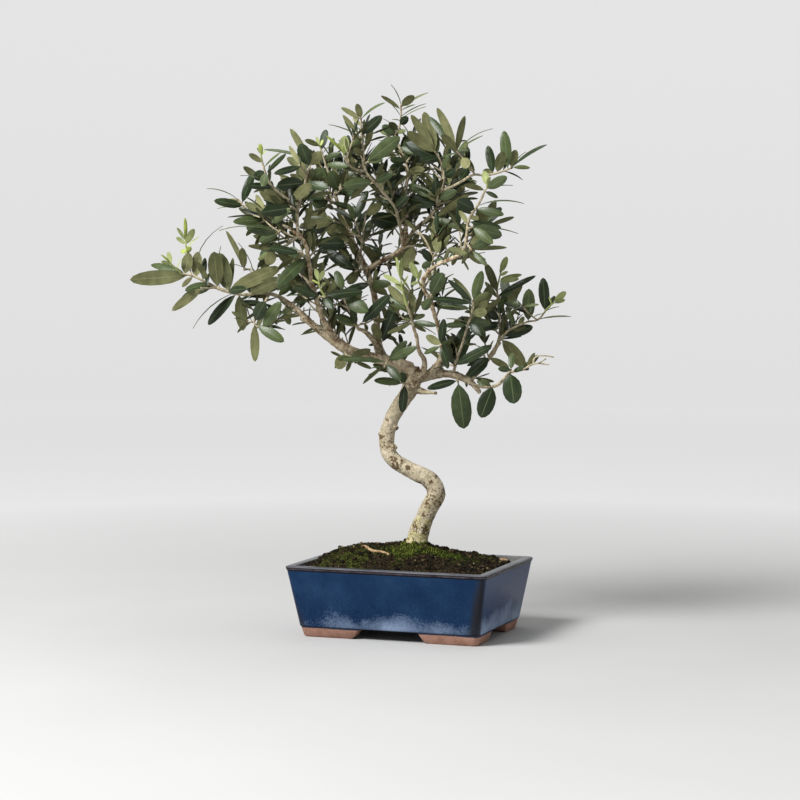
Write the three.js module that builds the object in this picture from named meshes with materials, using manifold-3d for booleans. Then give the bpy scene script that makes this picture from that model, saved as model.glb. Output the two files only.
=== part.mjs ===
// Olive bonsai in a glazed rectangular pot.
// A three.js model in millimetres, +Z up. The pot's long side runs along X and its front faces -Y.
// The origin is the middle of the object's bounding box, on the surface that the pot stands on.
// Nodes: the pot, its two drainage screens, the soil, a surface root, the trunk with its boughs grown as
// one piece, and one node for each leafy stem or young shoot, with its leaves fused to it.
import * as THREE from 'three';
import { mergeVertices } from 'three/addons/utils/BufferGeometryUtils.js';
import Module from 'manifold-3d';

const wasm = await Module();
wasm.setup();

// ---------------------------------------------------------------- driving dimensions
const SEAT_GAP = 0.3; // clearance between pieces that rest on each other
const POT = {
  topX: 208, topY: 157.3, bottomX: 187.5, bottomY: 134.5, height: 70.5, bodyBottom: 10.5,
  topCorner: 5, bottomCorner: 7, rim: 8, floor: 17, lip: 0.6,
  lipHeight: 3.4,
  footX: 62.5, footY: 45, footWidth: 15, footInset: 0.8, footCorner: 4.1,
  holeRadius: 7, holeSides: 10, holeX: 46, cornerSteps: 3,
};
// How a foot narrows towards the ground: height, slope of its ends, lean of its faces, more off its corner.
const FOOT_TAPER = [[0, 10, 3.4, 3], [2.2, 5.5, 2, 2]];
const SCREEN = { side: 26, thickness: 1, openings: 2, opening: 8, pitch: 11 };
// Mound of the soil: rings from the wall to the trunk, as a share of the way out and a height.
const MOUND = [[1, 64], [0.88, 72], [0.62, 81], [0.28, 89], [0.06, 92.5]];
const LEAF = {
  thickness: 0.8, arch: 0.06, clearance: 0.3,
  outline: [[0.36, 1], [0.72, 0.84]], // share of the length, share of the width
  slim: 5.5, slimOutline: [[0.45, 1]], // blades narrower than this
};
// Pairs of leaves set along a stem by a rule: where they start, how a leaf heads along the stem, out from
// it and up, its length and how far that varies, its width as a share of the length, the first pair's turn.
const SPREAD = {
  start: 1.2, ahead: 0.62, out: 0.78, rise: 0.22, length: 31, varies: 9, golden: 0.618, width: 0.27,
  turn: 0.4,
};
// Sides of a stem by the radius that it starts with.
const STEM_SIDES = [[7.6, 8], [4.9, 6], [2.4, 5], [1.3, 4], [0, 3]];
// What a stem is cut back by where another carries it: rounder and a little wider than the carrier.
const CARRIER_SIDES = 8;
const CARRIER_GAP = 0.45;
// The tree is laid out on sight lines from a point in front of the pot, turned from the pot's own front.
// A place is [across, up, back]: across and up on the upright plane through the pot's middle, and back
// is how far behind that plane it lies (minus is nearer), before it is stretched by `depth`.
const SIGHT = { across: -11, up: 372, distance: 2326, turn: -20.3, depth: 1.4 };

// ---------------------------------------------------------------- the tree's layout
// Boughs grown with the trunk. Each point is [across, up, back, radius].
const BOUGHS = {
  trunk: [[6, 55, 0, 9], [6, 86, 0, 12.5], [7, 95, 0, 10.6], [13, 112, -2, 9.2], [20, 127, -4, 9.2],
    [25, 139, -5, 9.4], [19, 151, -5, 8.9], [8, 157.5, -4, 8.2], [-5, 164, -2, 7.9], [-17, 171.5, 0, 7.8],
    [-23.5, 183, 2, 7.7], [-24, 196, 3, 7.8], [-21, 208, 3, 7.6], [-15, 221, 2, 7.5], [-7, 233, 1, 7.9],
    [-1, 243, 0, 8.6], [2, 254, 0, 9.4], [1, 265, 0, 7.5]],
  knob_low: [[-18, 184, -2, 4], [-14.5, 184, -4, 1.6]],
  knob_left: [[-26, 197, 3, 5], [-32.5, 199, 2, 2]],
  knob_right: [[-18, 205, 1, 4.5], [-13, 203, -1, 2.2]],
  stub_front: [[0, 246, -4, 5.5], [3, 247, -10, 3.6]],
  stub_low: [[2, 243, -3, 5], [13, 240, -8, 2.8], [26, 238.5, -12, 1.5]],
  left: [[0, 262, 0, 7.5], [-14, 268, -2, 6.4], [-32, 273, -4, 5.4], [-50, 277, -6, 5], [-63, 282, -8, 5.6],
    [-75, 290, -9, 5.8], [-88, 299, -10, 4.4], [-101, 309, -12, 3.4], [-116, 324, -15, 2.6],
    [-124, 330, -16, 2.4]],
  left_stub: [[-92, 303, -11, 3], [-111, 313, -15, 1.4]],
  leader: [[-4, 255, 2, 7], [-16, 264, 4, 6.2], [-27, 273, 6, 5.4], [-34, 290, 9, 4.4], [-34, 314, 13, 3.6],
    [-38, 342, 17, 3.1], [-45, 362, 20, 3.2], [-55, 384, 24, 2.6], [-65, 406, 28, 2.6],
    [-72, 424, 31, 2.5]],
  side: [[-30, 281, 7, 3.6], [-38, 292, -4, 3.1], [-46, 300, -14, 2.4], [-53, 303, -20, 1.9]],
  inner: [[-73, 289, -9, 4], [-84, 305, -18, 3.3], [-91, 320, -26, 2.9], [-95, 334, -32, 2.7],
    [-99, 347, -36, 2.3], [-101, 362, -40, 2.1], [-103, 376, -43, 2.2], [-106, 388, -46, 2],
    [-113, 399, -48, 1.9]],
  inner_fork: [[-110, 394, -47, 1.9], [-122, 404, -41, 1.5]],
  middle: [[-45, 361, 20, 2.7], [-33, 369, 14, 2.4], [-20, 376, 8, 2.2], [-10, 382, 4, 2.2],
    [-5, 392, 2, 2.3], [-5, 401, 3, 2.1]],
  middle_left: [[-8, 386, 3, 1.9], [-10, 402, -9, 1.6]],
  middle_right: [[-6, 390, 2, 2.1], [3, 401, -3, 2]],
  right_leader: [[18, 257, -3, 4.6], [27, 268, -10, 3.4], [31, 281, -16, 2.6], [29, 296, -20, 2.2],
    [25, 312, -24, 2.1], [19, 331, -28, 2.2], [12, 347, -32, 2.4], [17, 359, -36, 2.3], [25, 366, -40, 2.1],
    [38, 372, -44, 2.1], [48, 377, -47, 2.3], [54, 384, -50, 2]],
  dark: [[7, 255, -2, 4.6], [11.5, 259, -6, 3.4], [13.5, 270, -10, 2.8], [8, 281, -18, 2.2],
    [6, 293, -22, 1.9], [2.5, 305, -26, 1.9]],
  right: [[6, 254, 0, 6.4], [22, 257, -2, 4.8], [36, 258, -4, 4.1], [49, 255, -6, 3.8], [60, 249, -8, 3.3],
    [66, 243, -9, 2.6], [69, 238.5, -9, 2]],
  right_up: [[58, 251, -8, 3], [66, 258, 2, 2.4], [74, 268, 12, 2.3], [82, 279, 20, 2.5],
    [87, 288, 24, 2.3]],
};

// Leafy stems. `on` is the bough or stem that carries it. Each stem point is [across, up, back, radius];
// each leaf is [root across, root up, tip across, tip up, width, turn, lean, arch]. The root is moved to
// the nearest point of the stems. Turn 0 shows the upper side to the front and 180 the underside. Lean is
// how much further back the tip lies than the root. `spread` sets pairs of leaves along a stem by a rule.
const LEAFY = {
  left_mid: {
    on: 'left',
    stems: [
      [[-124, 330, -16, 2.3], [-131, 334.5, -17, 2.2], [-147, 339, -19, 2.1], [-166, 337, -21, 1.8],
        [-180, 339, -22, 1.8]],
      [[-152, 338, -20, 1.2], [-154, 352, -12, 1.1], [-158, 362, -8, 1], [-167, 362, -6, 0.9]],
      [[-142, 337, -19, 1.3], [-150, 322, -30, 1.1], [-157, 309, -36, 1.1], [-148, 302, -38, 0.9]],
      [[-128, 333, -17, 1.2], [-125, 326, -8, 1], [-128, 321, 0, 0.9]],
      [[-140, 337, -19, 1.2], [-146, 344, 6, 1], [-150, 352, 20, 0.9], [-148, 362, 34, 0.8]],
    ],
    leaves: [
      [-167, 362, -169, 384, 8, 178, -6], [-166, 362, -185, 401, 6, 150, 4],
      [-158, 362, -173, 389, 6, 86, 8], [-164, 338, -128, 353, 13, 172, -6],
      [-164, 337, -141, 336, 7, 172, 8], [-149, 302, -130, 330, 12, 15, -8],
      [-150, 302, -133, 296, 9, 0, 8], [-157, 308, -156, 270, 9, 176, 4],
      [-155, 306, -127, 290, 11, 5, -8], [-156, 311, -146, 330, 13, 10, -16],
      [-127, 322, -121, 307, 7, 178, 4], [-174, 338, -203, 307, 11, 5, -10],
      [-172, 338, -168, 301, 12, 178, 8], [-177, 338, -218, 303, 7, 84, 2, 0.1],
      [-131, 336, -153, 326, 7, 78, 8], [-133, 336, -118, 350, 8, 4, 12],
    ],
    spread: [[4, 1]],
  },
  left_end: {
    on: 'left_mid',
    stems: [
      [[-180, 339, -22, 1.8], [-192, 343, -23, 2.1], [-206, 350, -24, 1.5], [-219, 356, -25, 1.3],
        [-229, 358, -27, 1]],
      [[-195, 344, -23, 1.2], [-204, 343.5, -30, 1], [-210, 344, -35, 0.9]],
      [[-219, 356, -25, 0.9], [-222, 366, -20, 0.8], [-224, 375, -17, 0.8]],
    ],
    leaves: [
      [-222, 354, -281, 352, 15, 180, -6], [-225, 356, -260, 367, 9, 55, 8],
      [-226, 358, -222, 379, 11, 180, 8], [-215, 355, -213, 380, 11, 175, 10],
      [-214, 356, -188, 406, 7, 86, 4, 0.16], [-208, 351, -206, 374, 6, 10, 14],
      [-203, 346, -226, 341, 9, 20, -8], [-198, 345, -221, 338.5, 8, 5, 8],
      [-208, 345, -239, 321, 9, 150, -4, 0.14], [-202, 348, -214, 370, 6, 165, -10],
      [-192, 346, -197, 380, 15, 180, -8], [-182, 341, -192, 379, 16, 180, 12],
      [-184, 341, -131, 364, 14, 172, -12, 0.08], [-183, 341, -164, 343, 8, 10, -18],
      [-182, 341, -178, 374, 6, 180, 18],
    ],
  },
  left_shoot: {
    on: 'left_end', young: true,
    stems: [
      [[-224, 375.4, -17, 0.8], [-225, 385, -14, 0.8], [-226, 393, -12, 0.7]],
    ],
    leaves: [
      [-225, 391, -226, 414, 4, 20, 3], [-226, 391, -234, 404, 4, 150, -3],
      [-225, 388, -235, 394, 6, 160, 3], [-225, 387, -217, 403, 7, 170, -3],
      [-224, 379, -230, 381, 5, 10, 2], [-224, 379, -220, 385, 5, 0, -3],
    ],
  },
  left_bud: {
    on: 'left_end', young: true,
    stems: [
      [[-229.5, 358, -27, 1], [-235, 363, -30, 0.9], [-241, 369, -33, 0.8]],
    ],
    leaves: [
      [-240, 368, -243, 380, 5, 170, 3], [-241, 368, -250, 377, 4, 60, -3],
      [-240, 367, -250, 370, 5, 160, 3],
    ],
  },
  inner_low: {
    on: 'inner',
    stems: [
      [[-95, 333, -32, 1.4], [-91, 335, -38, 1.2], [-86, 335, -43, 1.1]],
    ],
    leaves: [
      [-92, 335, -117, 345, 9, 3, -6], [-93, 334, -115, 326, 6, 60, -8], [-87, 335, -48, 340, 10, 3, -4],
      [-88, 335, -78, 322, 8, 3, -8],
    ],
  },
  inner_back: {
    on: 'inner',
    stems: [
      [[-96, 336, -33, 1.4], [-101, 339, -14, 1.2], [-106, 345, 4, 1], [-106, 353, 20, 0.9]],
    ],
    leaves: [],
    spread: [[0, 2]],
  },
  inner_shoot: {
    on: 'inner_low', young: true,
    stems: [
      [[-86, 335, -43.5, 1.1], [-91, 344, -46, 0.9], [-92.5, 353, -48, 0.8]],
    ],
    leaves: [
      [-92, 351, -96, 363, 5, 165, 3], [-92, 350, -87, 361, 5, 165, -3],
    ],
  },
  inner_mid: {
    on: 'inner',
    stems: [
      [[-102, 373, -43, 1.4], [-108, 377, -50, 1.2], [-113, 380, -56, 1]],
    ],
    leaves: [
      [-105, 373, -134, 346, 13, 8, -10], [-106, 374, -134, 341, 7, 0, 6],
      [-110, 378, -124, 381, 10, 0, 6], [-110, 379, -142, 384, 8, 8, -6],
    ],
  },
  inner_brown: {
    on: 'inner',
    stems: [
      [[-112, 396, -48, 1.4], [-124, 387, -40, 1.2], [-137, 381, -32, 1]],
    ],
    leaves: [
      [-136, 381, -144, 367, 11, 178, -4], [-133, 382, -119, 368, 11, 178, 8],
      [-128, 385, -150, 385, 9, 5, 10], [-130, 384, -158, 396, 8, 172, 12],
      [-136, 381, -163, 386, 5, 165, -6], [-120, 390, -95, 402, 8, 4, -6],
    ],
  },
  far_left: {
    on: 'inner',
    stems: [
      [[-122, 404, -41, 1.5], [-130, 407, -36, 1.4], [-139, 409, -30, 1.3], [-152, 414, -22, 1.2],
        [-163, 421, -16, 1.1], [-173, 432, -12, 0.9]],
      [[-131, 407, -35, 1.1], [-131, 400, -44, 1], [-134, 398, -48, 0.9]],
      [[-142, 410, -28, 1.1], [-146, 416, -36, 1], [-147, 421, -40, 0.9]],
      [[-134, 408, -32, 1.2], [-138, 412, -4, 1], [-136, 418, 16, 0.9], [-132, 424, 32, 0.8]],
    ],
    leaves: [
      [-168, 425, -197, 431, 9, 8, -8], [-169, 428, -158, 458, 9, 5, 4, 0.12],
      [-146, 413, -178, 410, 9, 8, -8], [-147, 420, -166, 428, 8, 172, 6],
      [-146, 419, -135, 434, 7, 0, -6], [-133, 398, -165, 404, 10, 2, -6],
      [-130, 404, -136, 416, 9, 0, 8], [-131, 400, -152, 390, 9, 5, 10],
    ],
    spread: [[3, 1]],
  },
  crown_left: {
    on: 'inner',
    stems: [
      [[-113, 399, -48, 1.8], [-114, 413, -50, 1.8], [-112, 428, -50, 1.7], [-107, 444, -48, 1.5],
        [-104, 458, -46, 1.3], [-101, 467, -42, 1.1], [-104, 474, -40, 0.9]],
      [[-104, 457, -46, 1.1], [-108, 463, -54, 1], [-112, 467, -58, 0.9]],
      [[-112, 427, -50, 1.5], [-121, 431, -54, 1.4], [-131, 438, -58, 1.3], [-140, 447, -60, 1.1],
        [-145, 457, -62, 1], [-149, 471, -64, 0.9]],
      [[-113, 420, -50, 1.2], [-118, 424, -62, 1], [-120, 425, -68, 0.9]],
      [[-106, 447, -48, 1.2], [-112, 446, -20, 1], [-114, 450, 0, 0.9], [-110, 456, 16, 0.8]],
    ],
    leaves: [
      [-118, 424, -150, 419, 12, 5, -8], [-119, 431, -100, 448, 11, 172, -8],
      [-109, 463, -124, 474, 8, 172, 6], [-110, 465, -137, 458, 7, 5, -10],
      [-107, 449, -134, 446, 14, 2, -6], [-102, 466, -111, 488, 13, 3, -6],
      [-101, 466, -90, 480, 10, 176, 4], [-103, 472, -121, 503, 8, 150, 6],
      [-104, 473, -147, 482, 6, 60, -8], [-145, 459, -148, 445, 8, 0, -10],
      [-146, 461, -157, 453, 9, 5, 8], [-138, 445, -164, 446, 7, 8, -8], [-145, 458, -125, 478, 5, 10, 8],
      [-106, 448, -82, 444, 9, 10, -10],
    ],
    spread: [[4, 1]],
  },
  crown_left_shoot: {
    on: 'crown_left', young: true,
    stems: [
      [[-149, 471.4, -64, 0.9], [-150, 476, -65, 0.8], [-150, 479, -65.5, 0.8]],
    ],
    leaves: [
      [-150, 477, -151, 488, 5, 15, 2],
    ],
  },
  leader_hook: {
    on: 'leader',
    stems: [
      [[-56, 387, 24, 1.4], [-61, 389, 16, 1.2], [-66, 389, 10, 1]],
    ],
    leaves: [
      [-64, 389, -98, 388, 12, 2, -8], [-62, 389, -90, 379, 8, 10, 8], [-60, 389, -84, 400, 9, 176, 12],
    ],
  },
  leader_brown: {
    on: 'leader',
    stems: [
      [[-64, 403, 28, 1.4], [-70, 407, 20, 1.2], [-77, 411, 14, 1]],
    ],
    leaves: [
      [-72, 408, -84, 399, 8, 176, -8], [-76, 411, -109, 413, 7, 5, 6],
      [-76, 410, -112, 405, 10, 176, -6], [-74, 409, -96, 399, 8, 3, 10],
    ],
  },
  leader_back: {
    on: 'leader',
    stems: [
      [[-60, 394, 27, 1.4], [-68, 394, 46, 1.2], [-77, 398, 60, 1], [-84, 406, 70, 0.9]],
    ],
    leaves: [],
    spread: [[0, 2]],
  },
  crown_back: {
    on: 'leader',
    stems: [
      [[-72, 424, 31, 2.2], [-76, 438, 34, 1.7], [-80, 452, 36, 1.5], [-85, 466, 38, 1.2],
        [-88, 476, 38, 1], [-90, 483, 38, 0.9]],
      [[-73, 427, 32, 1.5], [-80, 430, 22, 1.3], [-86, 434, 14, 1.1]],
      [[-76, 438, 34, 1.3], [-72, 440, 22, 1.1], [-70, 443, 14, 1]],
      [[-75, 436, 33, 1.4], [-68, 444, 50, 1.2], [-62, 452, 64, 1], [-56, 458, 74, 0.9]],
      [[-79, 448, 35, 1.3], [-90, 452, 50, 1.1], [-100, 454, 64, 0.9]],
    ],
    leaves: [
      [-82, 431, -99, 427, 11, 8, -8], [-85, 433, -108, 436, 9, 15, -4], [-84, 433, -103, 447, 10, 5, 8],
      [-72, 440, -81, 461, 13, 3, -8], [-71, 441, -48, 442, 9, 3, 6], [-74, 439, -48, 437, 6, 30, -10],
      [-79, 430, -58, 423, 6, 5, 6], [-84, 464, -104, 451, 12, 5, -8], [-82, 459, -50, 454, 10, 8, -10],
      [-89, 481, -85, 502, 8, 10, 6],
    ],
    spread: [[3, 1], [4, 1]],
  },
  crown_back_shoot: {
    on: 'crown_back', young: true,
    stems: [
      [[-90, 483.4, 38, 0.9], [-92, 487, 37, 0.8]],
    ],
    leaves: [
      [-91, 485, -106, 492, 6, 160, -3], [-92, 486, -95, 495, 4, 150, 3],
    ],
  },
  leader_fork: {
    on: 'leader',
    stems: [
      [[-51, 376, 22, 1.3], [-49, 388, 8, 1.2], [-47, 404, 0, 1.1], [-45, 418, -4, 0.9]],
      [[-49, 390, 7, 1.1], [-57, 413, -8, 0.9]],
    ],
    leaves: [
      [-57, 412, -43, 441, 8, 20, 4], [-46, 416, -30, 428, 10, 172, -6],
      [-49, 388, -28, 376, 6, 60, -8, 0.12], [-49, 387, -31, 369, 9, 178, 6],
    ],
  },
  leader_low: {
    on: 'leader',
    stems: [
      [[-45, 362, 20, 1.3], [-51, 362, 12, 1.1], [-56, 360, 6, 1]],
    ],
    leaves: [
      [-51, 362, -65, 371, 7, 15, 6], [-52, 361, -63, 348, 10, 178, -8], [-55, 360, -84, 381, 12, 3, 10],
    ],
  },
  leader_cross: {
    on: 'leader',
    stems: [
      [[-38, 342, 17, 1.2], [-40, 346, 8, 1.1], [-41, 348, 2, 1]],
    ],
    leaves: [
      [-41, 347, -20, 348, 9, 4, -6], [-41, 347, -62, 342, 9, 4, 4], [-40, 346, -24, 338, 8, 172, 8],
    ],
  },
  side_fan: {
    on: 'side',
    stems: [
      [[-53, 303, -20, 1.7], [-60, 318, -28, 1.3], [-66, 332, -34, 1.1], [-68, 342, -38, 0.9]],
      [[-54, 305, -21, 1.1], [-50, 308, -30, 0.9]],
    ],
    leaves: [
      [-67, 341, -75, 361, 9, 5, 6], [-66, 334, -43, 320, 14, 8, -8], [-60, 318, -72, 330, 7, 15, 8],
      [-55, 307, -60, 323, 7, 2, -8], [-56, 308, -76, 316, 9, 3, -4], [-67, 338, -50, 346, 9, 3, 8],
      [-50, 308, -21, 337, 11, 3, -6], [-54, 305, -72, 311, 7, 140, -10],
    ],
  },
  leader_base: {
    on: 'leader',
    stems: [
      [[-32, 286, 9, 1.4], [-30, 289, -4, 1.2], [-29, 291, -10, 1.1]],
    ],
    leaves: [
      [-29, 290, -15, 326, 13, 2, -6], [-30, 290, -38, 308, 9, 176, 6],
    ],
  },
  leader_behind: {
    on: 'leader',
    stems: [
      [[-34, 296, 10, 1.4], [-27, 302, 28, 1.2], [-20, 309, 44, 1], [-14, 318, 56, 0.9]],
    ],
    leaves: [],
    spread: [[0, 2]],
  },
  left_under: {
    on: 'left',
    stems: [
      [[-66, 280, -9, 1.5], [-64, 276, -16, 1.2], [-60, 275, -22, 1]],
    ],
    leaves: [
      [-65, 278, -74, 263, 12, 176, -4], [-62, 276, -40, 282, 7, 178, 8],
    ],
  },
  knuckle_left: {
    on: 'left',
    stems: [
      [[-20, 269, -3, 1.5], [-22, 272, -13, 1.2], [-24, 270, -20, 1.1], [-27, 264, -26, 1]],
    ],
    leaves: [
      [-22, 272, -4, 291, 8, 5, -4], [-23, 271, 6, 285, 9, 8, -10], [-25, 270, -73, 272, 7, 40, 6],
      [-26, 265, -48, 248, 8, 120, -6], [-25, 267, -10, 251, 9, 5, -8],
    ],
  },
  knuckle_low: {
    on: 'trunk',
    stems: [
      [[0, 249, -4, 1.5], [-6, 248, -15, 1.2], [-10, 249, -19, 1]],
    ],
    leaves: [
      [-8, 248, -37, 251, 9, 5, -8], [-6, 247, -9, 219, 9, 5, 2], [-7, 249, -9, 260, 8, 3, -8],
    ],
  },
  dark_top: {
    on: 'dark',
    stems: [
      [[2.5, 305, -26, 1.8], [0, 315, -30, 1.7], [-4, 326, -33, 1.4]],
    ],
    leaves: [
      [-2, 320, -22, 334, 7, 10, 6], [-4, 325, -23, 346, 9, 172, 8], [1, 314, 0, 339, 9, 172, -8],
      [2, 310, 26, 306, 6, 10, -8], [2, 309, -24, 298, 5, 176, -8],
    ],
  },
  dark_shoot: {
    on: 'dark_top', young: true,
    stems: [
      [[-4, 326.4, -33, 1.3], [-8, 340, -36, 1], [-10, 351, -38, 0.9]],
    ],
    leaves: [
      [-10, 350, -15, 375, 4, 165, 3], [-9, 350, -9, 374, 5, 160, -4], [-9, 347, -28, 357, 5, 170, 5],
      [-8, 343, -3, 356, 4, 60, 3], [-8, 341, -16, 347, 4, 150, -4],
    ],
  },
  right_curl: {
    on: 'right_leader',
    stems: [
      [[28, 300, -20, 1.3], [29, 292, -30, 1.1], [30, 286, -36, 1]],
    ],
    leaves: [
      [29, 287, 33, 313, 8, 2, -6], [29, 287, 15, 296, 8, 176, 6], [30, 286, 37, 263, 7, 8, -4],
    ],
  },
  right_fold: {
    on: 'right_leader',
    stems: [
      [[20, 331, -28, 1.3], [20, 334, -38, 1.1], [20, 337, -42, 1]],
    ],
    leaves: [
      [20, 336, 32, 359, 14, 2, -6], [20, 334, 12, 322, 9, 2, 6],
    ],
  },
  right_shoot: {
    on: 'right_leader', young: true,
    stems: [
      [[11, 346, -32, 1.2], [8, 349, -41, 1], [7, 353, -46, 0.9]],
    ],
    leaves: [
      [7, 351, -1, 370, 7, 165, -3], [7, 352, 4, 364, 4, 60, 4], [8, 350, 10, 362, 4, 150, -4],
    ],
  },
  elbow: {
    on: 'right_leader',
    stems: [
      [[22, 364, -39, 1.4], [21, 375, -34, 1.2], [14, 392, -26, 1], [8, 400, -22, 0.9]],
      [[21, 373, -35, 1.2], [29, 384, -26, 1.1], [38, 389, -20, 1.1], [47, 388, -16, 0.9]],
    ],
    leaves: [
      [21, 371, 11, 364, 7, 3, -6], [9, 399, 27, 379, 10, 176, 8], [30, 385, 31, 399, 8, 176, 6],
      [38, 389, 23, 405, 9, 3, 8], [22, 370, 11, 382, 8, 3, -12],
    ],
  },
  elbow_up: {
    on: 'right_leader',
    stems: [
      [[54, 384, -50, 1.9], [56, 398, -52, 1.8], [58, 412, -54, 1.5], [64, 422, -55, 1.3],
        [71, 434, -56, 1.2], [74, 441, -57, 1.1], [76, 444, -57, 0.9]],
      [[55, 389, -51, 1.1], [59, 384, -60, 1], [61, 381, -64, 0.9]],
      [[57, 403, -53, 1.1], [60, 404, -62, 1], [62, 405, -66, 0.9]],
      [[56, 396, -52, 1.3], [66, 398, -26, 1.1], [74, 402, -8, 1], [80, 408, 8, 0.9]],
    ],
    leaves: [
      [75, 443, 96, 455, 10, 3, -6], [74, 441, 53, 447, 7, 166, -6], [66, 422, 93, 417, 8, 8, -6],
      [64, 422, 46, 431, 13, 8, -8], [66, 424, 76, 405, 8, 176, 8], [61, 405, 82, 388, 9, 3, -8],
      [61, 405, 91, 396, 13, 2, 6], [58, 410, 90, 404, 8, 2, -6], [61, 382, 96, 384, 5, 150, 6],
      [60, 383, 82, 393, 9, 2, -6],
    ],
    spread: [[3, 1]],
  },
  elbow_bud: {
    on: 'elbow_up', young: true,
    stems: [
      [[76, 444.4, -57, 0.9], [76, 447, -57.5, 0.8]],
    ],
    leaves: [
      [76, 446, 73, 461, 7, 166, 4], [76, 446, 79, 455, 4, 150, -3],
    ],
  },
  right_inner: {
    on: 'right',
    stems: [
      [[42, 257, -5, 1.8], [46, 272, -14, 1.5], [52, 290, -22, 1.3], [57, 307, -30, 1.3],
        [61, 320, -34, 1.2], [62, 331, -36, 1]],
      [[44, 265, -10, 1.2], [43, 266, -22, 1]],
      [[57, 308, -30, 1.2], [64, 312, -4, 1.1], [70, 318, 14, 1], [74, 326, 30, 0.9]],
    ],
    leaves: [
      [43, 266, 81, 286, 10, 3, -6], [44, 266, 56, 306, 16, 8, 10], [43, 265, 31, 290, 7, 8, -6],
      [62, 331, 71, 361, 10, 2, -4], [61, 330, 42, 354, 6, 150, 6], [61, 329, 37, 352, 6, 4, -6],
      [61, 328, 20, 333, 7, 20, -8], [61, 323, 20, 328, 8, 2, 6], [57, 307, 33, 306, 6, 10, -6],
      [58, 310, 71, 296, 9, 2, -8], [60, 318, 76, 320, 9, 176, -10], [58, 311, 80, 308, 8, 4, 8],
      [59, 314, 77, 331, 9, 176, 6],
    ],
    spread: [[2, 1]],
  },
  right_hang: {
    on: 'right',
    stems: [
      [[46, 254, -6, 1.6], [47, 250, -13, 1.2]],
    ],
    leaves: [
      [47, 250, 53, 203, 20, 2, 6], [46, 251, 16, 243, 8, 8, -8],
    ],
  },
  right_low: {
    on: 'right',
    stems: [
      [[62, 247, -9, 1.8], [75, 244.5, -14, 1.7], [86, 246.5, -18, 1.8], [93, 253, -22, 1.6],
        [99, 259, -25, 1.4], [112, 262, -29, 1.1], [123, 268, -31, 1], [138, 267, -34, 0.7]],
      [[122, 267, -31, 0.9], [124, 274, -30, 0.8], [134, 276, -31, 0.7], [143, 274.5, -32, 0.7]],
      [[127, 268, -32, 0.7], [135, 273, -35, 0.7]],
      [[98, 258, -25, 1], [100, 262, -32, 0.9]],
    ],
    leaves: [
      [82, 245, 70, 214, 17, 2, -4], [99, 259, 103, 228, 19, 2, -4], [100, 262, 101, 279, 7, 2, 6],
    ],
  },
  right_rise: {
    on: 'right_up',
    stems: [
      [[87, 288, 24, 2.2], [89, 299, 27, 1.5], [88, 314, 29, 1.3], [87, 330, 30, 1.4],
        [86, 342, 30, 1.1]],
      [[88, 291, 25, 1.7], [96, 300, 22, 1.4], [105, 305, 18, 1.2], [117, 310, 12, 1.1], [127, 312, 8, 1],
        [134, 320, 5, 0.9]],
      [[126, 312, 8, 0.9], [118, 318, 2, 0.8], [111, 326, -4, 0.8]],
      [[88, 306, 28, 1.3], [94, 312, 46, 1.1], [98, 320, 60, 1], [96, 330, 72, 0.9]],
    ],
    leaves: [
      [90, 293, 114, 265, 14, 170, -8], [92, 296, 122, 305, 11, 3, -6], [117, 311, 118, 343, 13, 2, -4],
      [134, 320, 132, 354, 11, 3, 4], [88, 315, 66, 328, 9, 176, -8], [88, 308, 64, 302, 9, 3, -8],
      [87, 328, 66, 319, 9, 176, 8], [88, 312, 76, 320, 8, 2, 8], [86, 336, 125, 356, 6, 12, -6],
      [87, 328, 96, 334, 8, 8, -8], [88, 318, 92, 333, 7, 10, -12], [86, 338, 75, 368, 9, 165, -6],
      [88, 303, 74, 306, 7, 178, -14],
    ],
    spread: [[3, 1]],
  },
  right_droop: {
    on: 'right_up',
    stems: [
      [[78, 273, 16, 1.4], [78, 274, 6, 1.2], [78, 274, 2, 1]],
    ],
    leaves: [
      [78, 274, 57, 255, 12, 8, -4], [78, 274, 56, 266, 6, 8, 8], [78, 274, 98, 264, 7, 176, 4],
    ],
  },
  right_rise_shoot: {
    on: 'right_rise', young: true,
    stems: [
      [[86, 342.4, 30, 1.1], [88, 352, 30, 0.9], [90, 360, 30, 0.8]],
    ],
    leaves: [
      [90, 359, 96, 375, 7, 165, 3], [89, 357, 92, 368, 4, 150, -4], [89, 352, 111, 357, 5, 165, 4],
      [88, 350, 108, 353, 6, 160, -4],
    ],
  },
  right_tip_shoot: {
    on: 'right_rise', young: true,
    stems: [
      [[134, 320.4, 5, 0.9], [138, 325, 3, 0.8], [143, 329, 2, 0.8]],
    ],
    leaves: [
      [143, 329, 155, 340, 7, 165, 3], [142, 329, 154, 332, 5, 150, -4],
    ],
  },
  middle_low: {
    on: 'middle',
    stems: [
      [[-5, 401, 3, 2], [-5, 408, 4, 2], [-4, 418, 6, 1.9], [-5, 432, 9, 1.8], [-5, 445, 12, 1.7],
        [-3, 458, 15, 1.8], [-7, 473, 18, 1.4], [-12, 486, 20, 1.2], [-16, 496, 21, 1],
        [-12, 503, 20, 0.9], [-10, 514, 19, 0.9], [-10, 527, 18, 0.8]],
      [[-5, 406, 4, 1.3], [-9, 407, 12, 1.1], [-13, 408, 16, 1]],
      [[-5, 429, 8, 1.3], [-8, 431, -2, 1]],
      [[-6, 470, 17, 1.2], [-3, 470, 8, 1]],
      [[-4, 452, 13, 1.4], [4, 458, 32, 1.2], [10, 466, 48, 1.1], [12, 476, 62, 0.9]],
      [[-5, 440, 11, 1.4], [-14, 436, 30, 1.2], [-22, 438, 46, 1.1], [-28, 446, 60, 0.9]],
    ],
    leaves: [
      [-12, 405, -40, 414, 17, 2, -8], [-10, 404, -29, 436, 12, 8, 8], [-8, 404, -16, 426, 9, 0, -12],
      [-8, 431, -22, 443, 9, 0, 6], [-8, 430, -24, 436, 10, 20, -6], [-4, 470, -21, 472, 8, 10, -6],
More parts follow.
